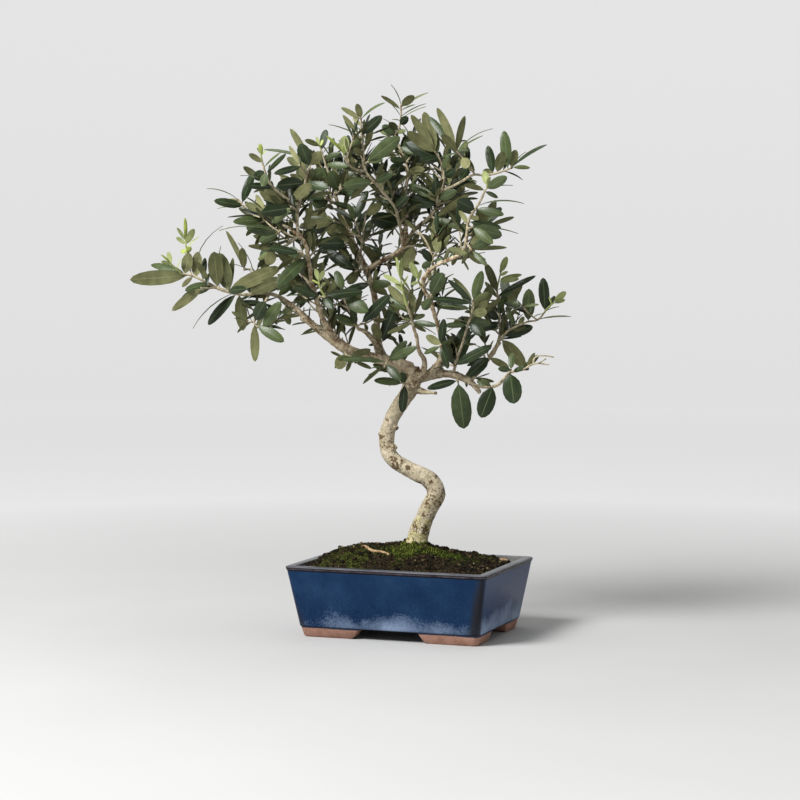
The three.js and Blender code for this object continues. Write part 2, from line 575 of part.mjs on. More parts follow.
      [-5, 464, -21, 463, 11, 0, -12], [-4, 455, -24, 452, 7, 0, -8], [-3, 460, 14, 462, 9, 176, -4],
      [-10, 525, 3, 536, 9, 160, -6], [-11, 507, -3, 515, 8, 2, -6], [-13, 502, -22, 509, 7, 170, -6],
      [-15, 497, -29, 506, 10, 3, -8], [-11, 485, 4, 478, 7, 10, -6],
    ],
    spread: [[4, 1], [5, 1]],
  },
  middle_end: {
    on: 'middle',
    stems: [
      [[-10, 382, 4, 1.6], [-3, 385, 2, 1.4], [4, 386, 0, 1.2]],
    ],
    leaves: [
      [3, 386, -6, 364, 12, 178, -6], [0, 385, -18, 371, 8, 172, 8],
    ],
  },
  top_left: {
    on: 'middle',
    stems: [
      [[-10, 402, -9, 1.6], [-12, 409, -14, 1.6], [-16, 424, -24, 1.5], [-27, 438, -30, 1.4],
        [-36, 449, -33, 1.4], [-45, 460, -35, 1.4], [-47, 474, -36, 1.2], [-49, 492, -36, 1],
        [-50, 503, -36, 0.9], [-50, 514, -36, 0.8]],
      [[-45, 460, -35, 1.1], [-57, 463, -42, 1], [-63, 468, -46, 0.9], [-67, 474, -48, 0.8]],
      [[-46, 468, -36, 1.1], [-43, 470, -46, 0.9]],
      [[-36, 449, -33, 1.1], [-38, 450, -44, 0.9]],
    ],
    leaves: [
      [-50, 512, -70, 524, 6, 150, 4], [-50, 513, -54, 528, 7, 168, -4], [-49, 497, -29, 516, 10, 3, -6],
      [-44, 470, -11, 495, 14, 2, -8], [-45, 470, -22, 496, 6, 60, 10], [-38, 450, -68, 446, 11, 5, -8],
      [-36, 450, -18, 458, 8, 5, -10], [-29, 440, -10, 456, 10, 2, 8], [-60, 465, -84, 467, 7, 10, 8],
      [-16, 424, -3, 436, 8, 6, -8],
    ],
  },
  top_left_shoot: {
    on: 'top_left', young: true,
    stems: [
      [[-67, 474.4, -48, 0.8], [-67.5, 479, -49, 0.8]],
    ],
    leaves: [
      [-67, 477, -66, 496, 10, 168, 3], [-67, 478, -85, 496, 6, 60, -4],
    ],
  },
  centre: {
    on: 'middle',
    stems: [
      [[3, 401, -3, 1.9], [8, 406, -6, 1.9], [15, 411, -10, 2], [22, 419, -14, 1.8], [28, 429, -18, 1.6],
        [31, 442, -22, 1.5], [33, 455, -24, 1.3], [31, 467, -24, 1.2], [28, 474, -26, 1],
        [24, 480, -28, 0.9]],
      [[20, 416, -13, 1.2], [24, 413, -20, 1]],
      [[26, 426, -17, 1.2], [26, 431, -26, 1], [27, 436, -30, 0.9]],
      [[24, 422, -15, 1.4], [34, 424, 12, 1.2], [42, 428, 32, 1.1], [48, 434, 46, 1], [50, 442, 60, 0.9]],
      [[32, 450, -23, 1.4], [40, 458, 2, 1.2], [46, 462, 20, 1.1], [50, 468, 36, 0.9]],
    ],
    leaves: [
      [25, 479, 0, 517, 9, 170, -4], [25, 480, 13, 520, 12, 172, 4], [25, 479, -4, 500, 11, 174, -8],
      [29, 472, -5, 489, 13, 8, 6], [27, 476, 20, 508, 10, 5, 10], [28, 474, 12, 470, 8, 8, -8],
      [26, 430, 24, 452, 9, 2, -4], [26, 432, 2, 445, 6, 60, -8], [25, 427, -2, 433, 14, 2, 6],
      [27, 432, 46, 441, 9, 2, 6], [27, 433, 28, 444, 7, 160, 8], [27, 433, -3, 447, 9, 8, 12],
      [24, 413, 58, 437, 7, 166, -6], [23, 414, 56, 402, 8, 8, -8], [23, 414, 50, 420, 6, 172, 8],
      [24, 413, 36, 418, 9, 0, 12], [22, 414, 27, 379, 10, 176, -8], [22, 414, 40, 392, 7, 172, 6],
      [33, 455, 44, 462, 9, 5, -8], [32, 460, 38, 476, 7, 5, -4],
    ],
    spread: [[3, 1], [4, 1]],
  },
  top_right: {
    on: 'centre',
    stems: [
      [[31, 441, -22, 1.4], [41, 445, -30, 1.3], [52, 451, -36, 1.3], [63, 457, -40, 1.2],
        [72, 456.5, -42, 1.2], [84, 458, -44, 1.1], [96, 462, -46, 0.9], [101, 464, -46, 0.8]],
      [[64, 457, -40, 1.1], [56, 469, -42, 1], [45, 481, -44, 0.9]],
    ],
    leaves: [
      [45, 481, 26, 524, 9, 158, -4], [46, 480, 54, 516, 8, 150, 6], [45, 481, 18, 515, 8, 10, 6],
      [46, 479, 31, 497, 9, 170, -8], [50, 474, 57, 464, 10, 172, -8], [63, 458, 53, 475, 7, 160, 6, 0.1],
      [100, 464, 105, 482, 9, 168, 4], [101, 464, 136, 487, 7, 60, -6, 0.08],
      [97, 462, 93, 501, 11, 2, 4], [86, 459, 92, 480, 10, 172, -6], [82, 458, 77, 486, 9, 3, 6],
      [83, 458, 72, 461, 7, 172, -10], [48, 449, 57, 464, 9, 4, 6],
    ],
  },
};

// ---------------------------------------------------------------- vectors
const add = (a, b) => [a[0] + b[0], a[1] + b[1], a[2] + b[2]];
const sub = (a, b) => [a[0] - b[0], a[1] - b[1], a[2] - b[2]];
const times = (a, k) => [a[0] * k, a[1] * k, a[2] * k];
const dot = (a, b) => a[0] * b[0] + a[1] * b[1] + a[2] * b[2];
const cross = (a, b) => [a[1] * b[2] - a[2] * b[1], a[2] * b[0] - a[0] * b[2], a[0] * b[1] - a[1] * b[0]];
const unit = (a) => times(a, 1 / Math.sqrt(dot(a, a)));
const mix = (a, b, t) => a.map((v, i) => v + (b[i] - v) * t);
const across = (v, axis) => unit(sub(v, times(axis, dot(v, axis))));

const TURN = SIGHT.turn * Math.PI / 180;
// A direction or place in the sight frame (right, back, up) turned into the pot's frame.
function turned(right, back, up) {
  const [cosine, sine] = [Math.cos(TURN), Math.sin(TURN)];
  return [right * cosine + back * sine, back * cosine - right * sine, up];
}
const EYE = turned(SIGHT.across, -SIGHT.distance, SIGHT.up);
const BACKWARD = turned(0, 1, 0);
function sight([a, u, depth]) {
  const back = depth * SIGHT.depth;
  const k = 1 + back / SIGHT.distance;
  return turned(SIGHT.across + (a - SIGHT.across) * k, back, SIGHT.up + (u - SIGHT.up) * k);
}

// Drawn points [across, up, back, radius] as [x, y, z, radius].
const inPlace = (points) => points.map((p) => [...sight(p), p[3]]);

// ---------------------------------------------------------------- solids
function solidOf(vertices, triangles) {
  const merged = mergeVertices(new THREE.BufferGeometry()
    .setAttribute('position', new THREE.Float32BufferAttribute(vertices.flat(), 3))
    .setIndex(triangles.flat()), 1e-5);
  return new wasm.Manifold(new wasm.Mesh({
    numProp: 3,
    vertProperties: new Float32Array(merged.attributes.position.array),
    triVerts: new Uint32Array(merged.index.array),
  }));
}

// Skin through rings of equally many points, closed by a flat cap at each end.
function loft(rings) {
  const n = rings[0].length;
  const triangles = [];
  for (let i = 1; i < n - 1; i += 1) {
    const last = (rings.length - 1) * n;
    triangles.push([0, i + 1, i], [last, last + i, last + i + 1]);
  }
  for (let k = 0; k < rings.length - 1; k += 1) {
    for (let i = 0; i < n; i += 1) {
      const a = k * n + i;
      const b = k * n + (i + 1) % n;
      triangles.push([a, b, b + n], [a, b + n, a + n]);
    }
  }
  return solidOf(rings.flat(), triangles);
}

// A stem's rings start from this direction, which no stem runs along, and are carried on from ring to ring.
const FIRST_SIDE = [0.31, -0.92, 0.24];

// Round stem through points [x, y, z, radius], grown by `extra` all over.
function stemSolid(points, sides, extra = 0) {
  const places = points.map((p) => p.slice(0, 3));
  const rings = [];
  let side = null;
  for (let i = 0; i < points.length; i += 1) {
    const ahead = places[Math.min(i + 1, points.length - 1)];
    const behind = places[Math.max(i - 1, 0)];
    const along = unit(sub(ahead, behind));
    side = across(side ?? FIRST_SIDE, along);
    const other = cross(along, side);
    const isEnd = i === 0 ? -1 : i === points.length - 1 ? 1 : 0;
    const centre = add(places[i], times(along, isEnd * extra));
    const radius = points[i][3] + extra;
    rings.push(Array.from({ length: sides }, (_, k) => {
      const angle = (2 * Math.PI * k) / sides;
      const out = add(times(side, Math.cos(angle)), times(other, Math.sin(angle)));
      return add(centre, times(out, radius));
    }));
  }
  return loft(rings);
}

// ---------------------------------------------------------------- leaves
// A leaf has a root, a tip and the direction its upper face looks in.
function leafFrame(leaf) {
  const reach = sub(leaf.tip, leaf.root);
  const length = Math.sqrt(dot(reach, reach));
  const along = times(reach, 1 / length);
  const up = across(leaf.face, along);
  return { length, along, up, side: cross(along, up) };
}

function leafMiddle(leaf, frame, t) {
  const rise = leaf.arch * frame.length * 4 * t * (1 - t);
  return add(mix(leaf.root, leaf.tip, t), times(frame.up, rise));
}

// Triangles of a blade with so many stations between its root and its tip. Corners 0 and 1 are the root,
// upper and lower. Each station has four, one side's upper and lower and then the other's. The tip is last.
function bladeFaces(stations) {
  const last = 4 * stations - 2;
  const tip = last + 4;
  const faces = [[0, 2, 4], [1, 5, 3], [1, 3, 2], [1, 2, 0], [1, 4, 5], [1, 0, 4]];
  for (let a = 2; a < last; a += 4) {
    const b = a + 4;
    faces.push([a, b, b + 2], [a, b + 2, a + 2], [a + 1, b + 3, b + 1], [a + 1, a + 3, b + 3]);
    faces.push([a + 1, b + 1, b], [a + 1, b, a], [a + 3, b + 2, b + 3], [a + 3, a + 2, b + 2]);
  }
  faces.push([last, tip, last + 2], [last + 1, last + 3, tip]);
  faces.push([last + 1, tip, last], [last + 3, last + 2, tip]);
  return faces;
}

function leafSolid(leaf) {
  const frame = leafFrame(leaf);
  const thick = times(frame.up, LEAF.thickness / 2);
  const bothFaces = (edge) => [add(edge, thick), sub(edge, thick)];
  const outline = leaf.width < LEAF.slim ? LEAF.slimOutline : LEAF.outline;
  const sides = outline.flatMap(([t, share]) => {
    const reach = times(frame.side, share * leaf.width / 2);
    const centre = leafMiddle(leaf, frame, t);
    return [...bothFaces(add(centre, reach)), ...bothFaces(sub(centre, reach))];
  });
  return solidOf([...bothFaces(leaf.root), ...sides, leaf.tip], bladeFaces(outline.length));
}

// ---------------------------------------------------------------- keeping leaves clear of each other
// Boxes: centre, three axes and half sizes. Two are clear where some axis separates them.
function boxAlong(from, to, up, halfWidth, halfThick) {
  const reach = sub(to, from);
  const length = Math.sqrt(dot(reach, reach));
  const along = times(reach, 1 / length);
  const flat = across(up, along);
  return {
    centre: mix(from, to, 0.5),
    axes: [along, cross(along, flat), flat],
    half: [length / 2, halfWidth, halfThick],
  };
}

function clear(a, b) {
  const between = sub(b.centre, a.centre);
  const reach = (box, axis) => box.half[0] * Math.abs(dot(box.axes[0], axis))
    + box.half[1] * Math.abs(dot(box.axes[1], axis)) + box.half[2] * Math.abs(dot(box.axes[2], axis));
  const splits = (axis) => Math.abs(dot(between, axis)) > reach(a, axis) + reach(b, axis);
  if (a.axes.some(splits) || b.axes.some(splits)) return true;
  return a.axes.some((p) => b.axes.some((q) => {
    const axis = cross(p, q);
    return dot(axis, axis) > 1e-6 && splits(unit(axis));
  }));
}

const far = (a, b) => {
  const gap = sub(a.centre, b.centre);
  const reach = a.half[0] + a.half[1] + b.half[0] + b.half[1];
  return dot(gap, gap) > reach * reach;
};
const allClear = (mine, others) => mine.every((a) => others.every((b) => far(a, b) || clear(a, b)));

function stemBoxes(points) {
  const boxes = [];
  for (let i = 0; i < points.length - 1; i += 1) {
    const radius = Math.max(points[i][3], points[i + 1][3]) + LEAF.clearance;
    boxes.push(boxAlong(points[i].slice(0, 3), points[i + 1].slice(0, 3), FIRST_SIDE, radius, radius));
  }
  return boxes;
}

function leafBoxes(leaf) {
  const frame = leafFrame(leaf);
  const stations = [[0, 0], ...LEAF.outline, [1, 0]];
  const places = stations.map(([t]) => leafMiddle(leaf, frame, t));
  const thick = LEAF.thickness / 2 + LEAF.clearance;
  return stations.slice(1).map(([, share], i) => {
    const widest = Math.max(stations[i][1], share) * leaf.width / 2;
    return boxAlong(places[i], places[i + 1], frame.up, widest + LEAF.clearance, thick);
  });
}

// ---------------------------------------------------------------- placing the leaves
function nearestOnStems(stems, a, u) {
  let best = null;
  stems.forEach((points) => {
    for (let i = 0; i < points.length - 1; i += 1) {
      const [p, q] = [points[i], points[i + 1]];
      const [da, du] = [q[0] - p[0], q[1] - p[1]];
      const share = ((a - p[0]) * da + (u - p[1]) * du) / (da * da + du * du || 1);
      const t = Math.min(1, Math.max(0, share));
      const spot = mix(p, q, t);
      const distance = Math.hypot(spot[0] - a, spot[1] - u);
      if (!best || distance < best.distance - 1e-9) best = { distance, spot };
    }
  });
  return best.spot;
}

// The upper face looks at the eye, turned about the leaf's length towards the side that faces the sky.
function faceOf(root, tip, turn) {
  const along = unit(sub(tip, root));
  const facing = across(sub(EYE, mix(root, tip, 0.5)), along);
  const side = cross(along, facing);
  const angle = turn * Math.PI / 180;
  const face = (way) => add(times(facing, Math.cos(angle)), times(side, way * Math.sin(angle)));
  return face(1)[2] >= face(-1)[2] ? face(1) : face(-1);
}

function drawnLeaf(stems, [a0, u0, a1, u1, width, turn, lean, arch], shift) {
  const spot = nearestOnStems(stems, a0, u0);
  const root = sight(spot);
  const tip = sight([a1, u1, spot[2] + lean + shift.back]);
  return { root, tip, width, arch: arch ?? LEAF.arch, face: faceOf(root, tip, turn + shift.turn) };
}

// Pairs of leaves along a stem, each pair a quarter turn on from the one before, with one at the end.
function spreadLeaves(points, pairs, shift) {
  const leaves = [];
  const places = points.map(sight);
  for (let k = 0; k <= pairs; k += 1) {
    const way = (places.length - 1) * (k + SPREAD.start) / (pairs + SPREAD.start);
    const i = Math.min(places.length - 2, Math.floor(way));
    const root = mix(places[i], places[i + 1], way - i);
    const along = unit(sub(places[i + 1], places[i]));
    const level = across([0, 0, 1], along);
    const quarter = (k % 2) * Math.PI / 2 + SPREAD.turn;
    const out = add(times(level, Math.cos(quarter)), times(cross(along, level), Math.sin(quarter)));
    for (const hand of k === pairs ? [0] : [1, -1]) {
      const ahead = hand === 0 ? 1 : SPREAD.ahead;
      const sideways = add(times(along, ahead), times(out, hand * SPREAD.out));
      const heading = unit(add(sideways, [0, 0, SPREAD.rise]));
      const length = SPREAD.length + SPREAD.varies * ((k * SPREAD.golden + (hand + 1) * SPREAD.width) % 1);
      const tip = add(add(root, times(heading, length)), times(BACKWARD, shift.back));
      const reach = unit(sub(tip, root));
      const upper = across(add(along, [0, 0, 0.5]), reach);
      const angle = shift.turn * Math.PI / 180;
      const face = add(times(upper, Math.cos(angle)), times(cross(reach, upper), Math.sin(angle)));
      leaves.push({ root, tip, width: length * SPREAD.width, arch: LEAF.arch, face });
    }
  }
  return leaves;
}

// Places that a leaf may take, nearest to the drawn one first: its tip moved back, and its blade turned.
const SHIFTS = [0, 7, -7, 14, -14, 22, -22, 30, -30]
  .flatMap((back) => [0, 24, -24].map((turn) => ({ back, turn })));

// Every stem stands first. Then each leaf takes the first place that is clear of all other nodes.
function placeLeaves() {
  const boughBoxes = Object.values(BOUGHS).flatMap((points) => stemBoxes(inPlace(points)));
  const stemsOf = {};
  for (const [name, { stems }] of Object.entries(LEAFY)) {
    stemsOf[name] = stems.flatMap((points) => stemBoxes(inPlace(points)));
  }
  const taken = {};
  const placed = {};
  for (const [name, node] of Object.entries(LEAFY)) {
    taken[name] = [];
    placed[name] = [];
    const blades = []; // this node's own blades, which cross only at their roots where they can
    const otherStems = Object.keys(LEAFY).filter((k) => k !== name).flatMap((k) => stemsOf[k]);
    const otherLeaves = Object.keys(taken).filter((k) => k !== name).flatMap((k) => taken[k]);
    const makers = node.leaves.map((row) => (shift) => drawnLeaf(node.stems, row, shift));
    (node.spread ?? []).forEach(([stem, pairs]) => {
      for (let i = 0; i < 2 * pairs + 1; i += 1) {
        makers.push((shift) => spreadLeaves(node.stems[stem], pairs, shift)[i]);
      }
    });
    for (const make of makers) {
      const fits = SHIFTS.map(make).filter((leaf) => {
        const boxes = leafBoxes(leaf);
        return allClear(boxes, [...otherStems, ...otherLeaves]) && allClear(boxes.slice(1), boughBoxes);
      });
      const apart = fits.find((leaf) => allClear(leafBoxes(leaf).slice(1), [...blades, ...stemsOf[name]]));
      const fit = apart ?? fits[0];
      if (fit) {
        placed[name].push(fit);
        taken[name].push(...leafBoxes(fit));
        blades.push(...leafBoxes(fit).slice(1));
      }
    }
  }
  return placed;
}

// ---------------------------------------------------------------- the tree's nodes
const sidesFor = (points) => STEM_SIDES.find(([least]) => points[0][3] > least)[1];

function trunkSolid(extra = 0) {
  return wasm.Manifold.union(Object.values(BOUGHS)
    .map((points) => stemSolid(inPlace(points), sidesFor(points), extra)));
}

function largestBody(solid) {
  const bodies = solid.decompose();
  return bodies.reduce((best, body) => (body.volume() > best.volume() ? body : best));
}

function leafySolid(name, placed, grownTrunk) {
  const node = LEAFY[name];
  const stems = node.stems.map((points) => stemSolid(inPlace(points), sidesFor(points)));
  const whole = wasm.Manifold.union([...stems, ...placed[name].map(leafSolid)]);
  let seated = whole.subtract(grownTrunk);
  const carrier = LEAFY[node.on];
  if (carrier) {
    const grown = carrier.stems.map((points) => stemSolid(inPlace(points), CARRIER_SIDES, CARRIER_GAP));
    seated = seated.subtract(wasm.Manifold.union(grown));
  }
  return largestBody(seated);
}

// ---------------------------------------------------------------- the pot and what fills it
function roundedRectangle(x, y, corner, z) {
  const ring = [];
  const steps = POT.cornerSteps;
  [[1, 1], [-1, 1], [-1, -1], [1, -1]].forEach(([sx, sy], quarter) => {
    for (let i = 0; i <= steps; i += 1) {
      const angle = (quarter + i / steps) * Math.PI / 2;
      const [cx, cy] = [sx * (x / 2 - corner), sy * (y / 2 - corner)];
      ring.push([cx + corner * Math.cos(angle), cy + corner * Math.sin(angle), z]);
    }
  });
  return ring;
}

// The pot's outline at a height, as the walls flare, moved in by `inset`.
function wallRing(z, inset) {
  const t = (z - POT.bodyBottom) / (POT.height - POT.bodyBottom);
  const grow = (low, high) => low + (high - low) * t;
  return roundedRectangle(grow(POT.bottomX, POT.topX) - 2 * inset, grow(POT.bottomY, POT.topY) - 2 * inset,
    Math.max(3, grow(POT.bottomCorner, POT.topCorner) - inset * 0.5), z);
}

// One L-shaped foot at a corner. Its two ends and its faces slope in towards the ground.
function footSolid(sx, sy) {
  const x = POT.bottomX / 2 - POT.footInset;
  const y = POT.bottomY / 2 - POT.footInset;
  const ring = ([z, slope, lean, more]) => {
    const [innerX, innerY] = [x - POT.footWidth, y - POT.footWidth];
    const [endX, endY] = [x - POT.footX + slope, y - POT.footY + slope];
    const [outX, outY] = [x - lean, y - lean];
    const cut = POT.footCorner + more;
    const shape = [[innerX, innerY], [innerX, endY], [outX, endY], [outX, outY - cut],
      [outX - cut, outY], [endX, outY], [endX, innerY]];
    const placed = shape.map(([px, py]) => [sx * px, sy * py, z]);
    return sx * sy > 0 ? placed : [placed[0], ...placed.slice(1).reverse()];
  };
  const upright = [POT.bodyBottom, POT.floor - 2].map((z) => [z, 0, 0, 0]);
  return loft([...FOOT_TAPER, ...upright].map(ring));
}

// The space of a drain hole, past both faces of the floor.
function drainSolid(x) {
  const length = POT.floor - POT.bodyBottom + 4;
  const geometry = new THREE.CylinderGeometry(POT.holeRadius, POT.holeRadius, length, POT.holeSides);
  geometry.rotateX(Math.PI / 2).translate(x, 0, (POT.floor + POT.bodyBottom) / 2);
  return solidOf(Array.from(geometry.attributes.position.array), Array.from(geometry.index.array));
}

function potSolid() {
  const outer = loft([
    wallRing(POT.bodyBottom, 0),
    wallRing(POT.height - POT.lipHeight - POT.lip, 0),
    wallRing(POT.height - POT.lipHeight, -POT.lip),
    wallRing(POT.height - POT.lip, -POT.lip),
    wallRing(POT.height, POT.lip),
  ]);
  const inner = loft([wallRing(POT.floor, POT.rim), wallRing(POT.height + 2, POT.rim)]);
  const feet = [[1, 1], [1, -1], [-1, 1], [-1, -1]].map(([sx, sy]) => footSolid(sx, sy));
  const holes = [1, -1].map((s) => drainSolid(s * POT.holeX));
  return wasm.Manifold.union([outer, ...feet]).subtract(inner).subtract(wasm.Manifold.union(holes));
}

function box(x, y, z0, side, thickness) {
  const ring = (z) => [[x - side / 2, y - side / 2, z], [x + side / 2, y - side / 2, z],
    [x + side / 2, y + side / 2, z], [x - side / 2, y + side / 2, z]];
  return loft([ring(z0), ring(z0 + thickness)]);
}

function screenSolid(x) {
  const z = POT.floor + SEAT_GAP;
  const cuts = [];
  for (let i = 0; i < SCREEN.openings ** 2; i += 1) {
    const column = i % SCREEN.openings - (SCREEN.openings - 1) / 2;
    const row = Math.floor(i / SCREEN.openings) - (SCREEN.openings - 1) / 2;
    const [cx, cy] = [x + column * SCREEN.pitch, row * SCREEN.pitch];
    cuts.push(box(cx, cy, z - 1, SCREEN.opening, SCREEN.thickness + 2));
  }
  return box(x, 0, z, SCREEN.side, SCREEN.thickness).subtract(wasm.Manifold.union(cuts));
}

// A ring of the mound: the soil's edge at the wall, drawn in towards the foot of the trunk.
const TRUNK_FOOT = sight(BOUGHS.trunk[0]);
function moundRing([share, z]) {
  const edge = wallRing(MOUND[0][1], POT.rim + SEAT_GAP);
  return edge.map(([x, y]) => [...mix(TRUNK_FOOT.slice(0, 2), [x, y], share), z]);
}

// The surface root lies on the mound, from the left front of the trunk down to the soil.
const ROOT = [[-49, 85, -10, 1.3], [-45, 84.5, -11, 1.8], [-38, 81.5, -16, 1.9], [-30, 80.5, -18.5, 1.8],
  [-24, 78.5, -23.5, 1.6], [-21, 75, -29, 1.2]];

function soilSolid(grownTrunk) {
  const body = loft([wallRing(POT.floor + SEAT_GAP, POT.rim + SEAT_GAP), ...MOUND.map(moundRing)]);
  const [pocket, deep] = [SCREEN.side + 2 * SEAT_GAP, SCREEN.thickness + 2 * SEAT_GAP + 1];
  const pockets = [1, -1].map((s) => box(s * POT.holeX, 0, POT.floor - 1, pocket, deep));
  return body.subtract(grownTrunk).subtract(wasm.Manifold.union(pockets))
    .subtract(stemSolid(inPlace(ROOT), 6, SEAT_GAP));
}

// ---------------------------------------------------------------- materials and the object
const finish = (color, roughness) => new THREE.MeshStandardMaterial({ color, roughness, metalness: 0 });
const LOOKS = {
  pot: finish(0x2a3f6b, 0.25),
  screen: finish(0x2c2c2c, 0.6),
  soil: finish(0x2b2418, 0.95),
  trunk: finish(0xa89a78, 0.85),
  root: finish(0xc09a78, 0.8),
  leafy: finish(0x46533c, 0.5),
  young: finish(0xa3b553, 0.5),
};

const bonsai = new THREE.Group();
function addNode(name, solid, look) {
  const mesh = solid.getMesh();
  const geometry = new THREE.BufferGeometry();
  geometry.setAttribute('position', new THREE.Float32BufferAttribute(mesh.vertProperties, 3));
  geometry.setIndex(Array.from(mesh.triVerts));
  geometry.computeVertexNormals();
  const node = new THREE.Mesh(geometry, look);
  node.name = name;
  bonsai.add(node);
}

const grownTrunk = trunkSolid(SEAT_GAP);
const placed = placeLeaves();
addNode('pot', potSolid(), LOOKS.pot);
addNode('screen_left', screenSolid(-POT.holeX), LOOKS.screen);
addNode('screen_right', screenSolid(POT.holeX), LOOKS.screen);
addNode('soil', largestBody(soilSolid(grownTrunk)), LOOKS.soil);
addNode('surface_root', stemSolid(inPlace(ROOT), 6), LOOKS.root);
addNode('trunk', trunkSolid(), LOOKS.trunk);
for (const [name, node] of Object.entries(LEAFY)) {
  addNode(`leafy_${name}`, leafySolid(name, placed, grownTrunk), node.young ? LOOKS.young : LOOKS.leafy);
}

// The origin goes to the middle of the bounding box, at the height that the feet stand on.
const bounds = new THREE.Box3().setFromObject(bonsai);
const middle = bounds.getCenter(new THREE.Vector3());
bonsai.position.set(-middle.x, -middle.y, -bounds.min.z);

export default bonsai;
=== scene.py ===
# %% [markdown]
# # An olive bonsai in its glazed pot
#
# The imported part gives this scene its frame: a pot on four feet, a mound of soil, the trunk with its boughs,
# and a plain solid for every leafy stem. In this lesson they get the finish of the real thing: glaze that
# breaks brown over the edges, bark with specks and lichen, leathery leaves with a pale underside, moss and
# peat. First the frame is loaded and its size is kept.

# %% Frame
import math
import random

import bmesh
import bpy
import numpy as np
from mathutils import Matrix, Vector, noise
from mathutils.kdtree import KDTree


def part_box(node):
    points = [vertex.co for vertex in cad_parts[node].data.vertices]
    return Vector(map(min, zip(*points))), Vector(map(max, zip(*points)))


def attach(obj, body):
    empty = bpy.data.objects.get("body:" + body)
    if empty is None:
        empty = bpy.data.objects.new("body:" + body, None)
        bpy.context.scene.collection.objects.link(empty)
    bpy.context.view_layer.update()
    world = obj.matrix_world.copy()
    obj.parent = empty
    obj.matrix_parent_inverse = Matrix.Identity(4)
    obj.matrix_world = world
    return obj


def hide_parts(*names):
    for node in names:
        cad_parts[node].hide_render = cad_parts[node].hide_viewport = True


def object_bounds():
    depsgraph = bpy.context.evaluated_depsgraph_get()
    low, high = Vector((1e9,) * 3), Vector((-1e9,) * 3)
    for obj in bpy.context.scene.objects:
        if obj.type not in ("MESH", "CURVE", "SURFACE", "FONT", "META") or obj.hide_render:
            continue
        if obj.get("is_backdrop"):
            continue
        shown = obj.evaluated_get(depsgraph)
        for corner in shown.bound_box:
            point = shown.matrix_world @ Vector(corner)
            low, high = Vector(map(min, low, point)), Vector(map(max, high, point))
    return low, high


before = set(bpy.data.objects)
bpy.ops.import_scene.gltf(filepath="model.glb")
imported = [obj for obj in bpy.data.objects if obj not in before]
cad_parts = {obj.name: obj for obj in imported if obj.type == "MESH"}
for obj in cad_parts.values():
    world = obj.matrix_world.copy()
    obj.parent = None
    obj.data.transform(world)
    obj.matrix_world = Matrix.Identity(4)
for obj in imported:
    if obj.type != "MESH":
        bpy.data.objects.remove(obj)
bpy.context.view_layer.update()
MM = 0.001
pot_low, pot_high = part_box("pot")
MIDDLE = Vector(((pot_low.x + pot_high.x) / 2, (pot_low.y + pot_high.y) / 2, 0))  # of the pot, on the ground
random.seed(7)
print("the pot stands round", tuple(round(v / MM, 1) for v in MIDDLE), "mm")

# %% [markdown]
# The tree was laid out on sight lines from a point in front of the pot, turned a little from the pot's own
# front. A place is drawn as (across, up, back) in millimetres. Across and up are read on the upright plane
# through the pot's middle, and back is how far behind that plane the place lies. The same rule carries every
# drawn place into the room, and the camera stands at the same point.

# %% From a drawn place to the room
ACROSS, UP, DISTANCE, DEPTH = -11, 372, 2326, 1.4
TURN = math.radians(-20.3)


def turned(right, back, up):
    """A direction or place (right, back, up) of the drawing, turned into the pot's frame, in metres."""
    c, s = math.cos(TURN), math.sin(TURN)
    return Vector((right * c + back * s, back * c - right * s, up)) * MM


def sight(across, up, depth):
    """A place of the drawing in the room, in metres."""
    back = depth * DEPTH
    k = 1 + back / DISTANCE
    return MIDDLE + turned(ACROSS + (across - ACROSS) * k, back, UP + (up - UP) * k)


EYE = MIDDLE + turned(ACROSS, -DISTANCE, UP)
BACKWARD = turned(0, 1, 0).normalized()
RIGHTWARD = turned(1, 0, 0).normalized()
print("the eye is at", tuple(round(v, 3) for v in EYE), "m")

# %% [markdown]
# ## Camera
#
# A studio camera stands level, 2.3 m in front of the pot. The lens is shifted down instead of tilting the
# camera, so that the pot's upright edges stay upright. Depth of field stays off.

# %% Camera
SENSOR, FRAME, LOWERED = 36, 800, 140.3  # the sensor's width, and the frame's width and shift on the drawing
camera = bpy.data.cameras.new("camera")
camera.sensor_width = SENSOR
camera.lens = SENSOR * DISTANCE / FRAME
camera.shift_y = -LOWERED / FRAME
camera_object = bpy.data.objects.new("camera", camera)
bpy.context.scene.collection.objects.link(camera_object)
camera_object.location = EYE
camera_object.rotation_euler = (-BACKWARD).to_track_quat("Z", "Y").to_euler()
bpy.context.scene.camera = camera_object
bpy.context.view_layer.update()
print("lens", round(camera.lens, 1), "mm, looking along", tuple(round(v, 3) for v in BACKWARD))

# %% [markdown]
# ## Helpers for modelling
#
# Every piece starts as a primitive and is shaped in edit mode. An operator acts on whatever is selected, so
# each step says first what it picks, by the place and the direction of a face, an edge or a corner. A
# finished piece keeps its place in its mesh, with its object at the origin.


# %% Modelling helpers
def only(*objects):
    """These objects are selected, and the first is active."""
    if bpy.context.object and bpy.context.object.mode != "OBJECT":
        bpy.ops.object.mode_set(mode="OBJECT")
    bpy.ops.object.select_all(action="DESELECT")
    for thing in reversed(objects):
        thing.select_set(True)
        bpy.context.view_layer.objects.active = thing


def start(name, operator, scale=(1, 1, 1), place=(0, 0, 0), **settings):
    """A primitive at its scale and place in millimetres, with both in its mesh."""
    only()
    operator(location=Vector(place) * MM, **settings)
    piece = bpy.context.object
    piece.name = piece.data.name = name
    piece.scale = Vector(scale) * MM
    bpy.ops.object.transform_apply(location=True, rotation=True, scale=True)
    return piece


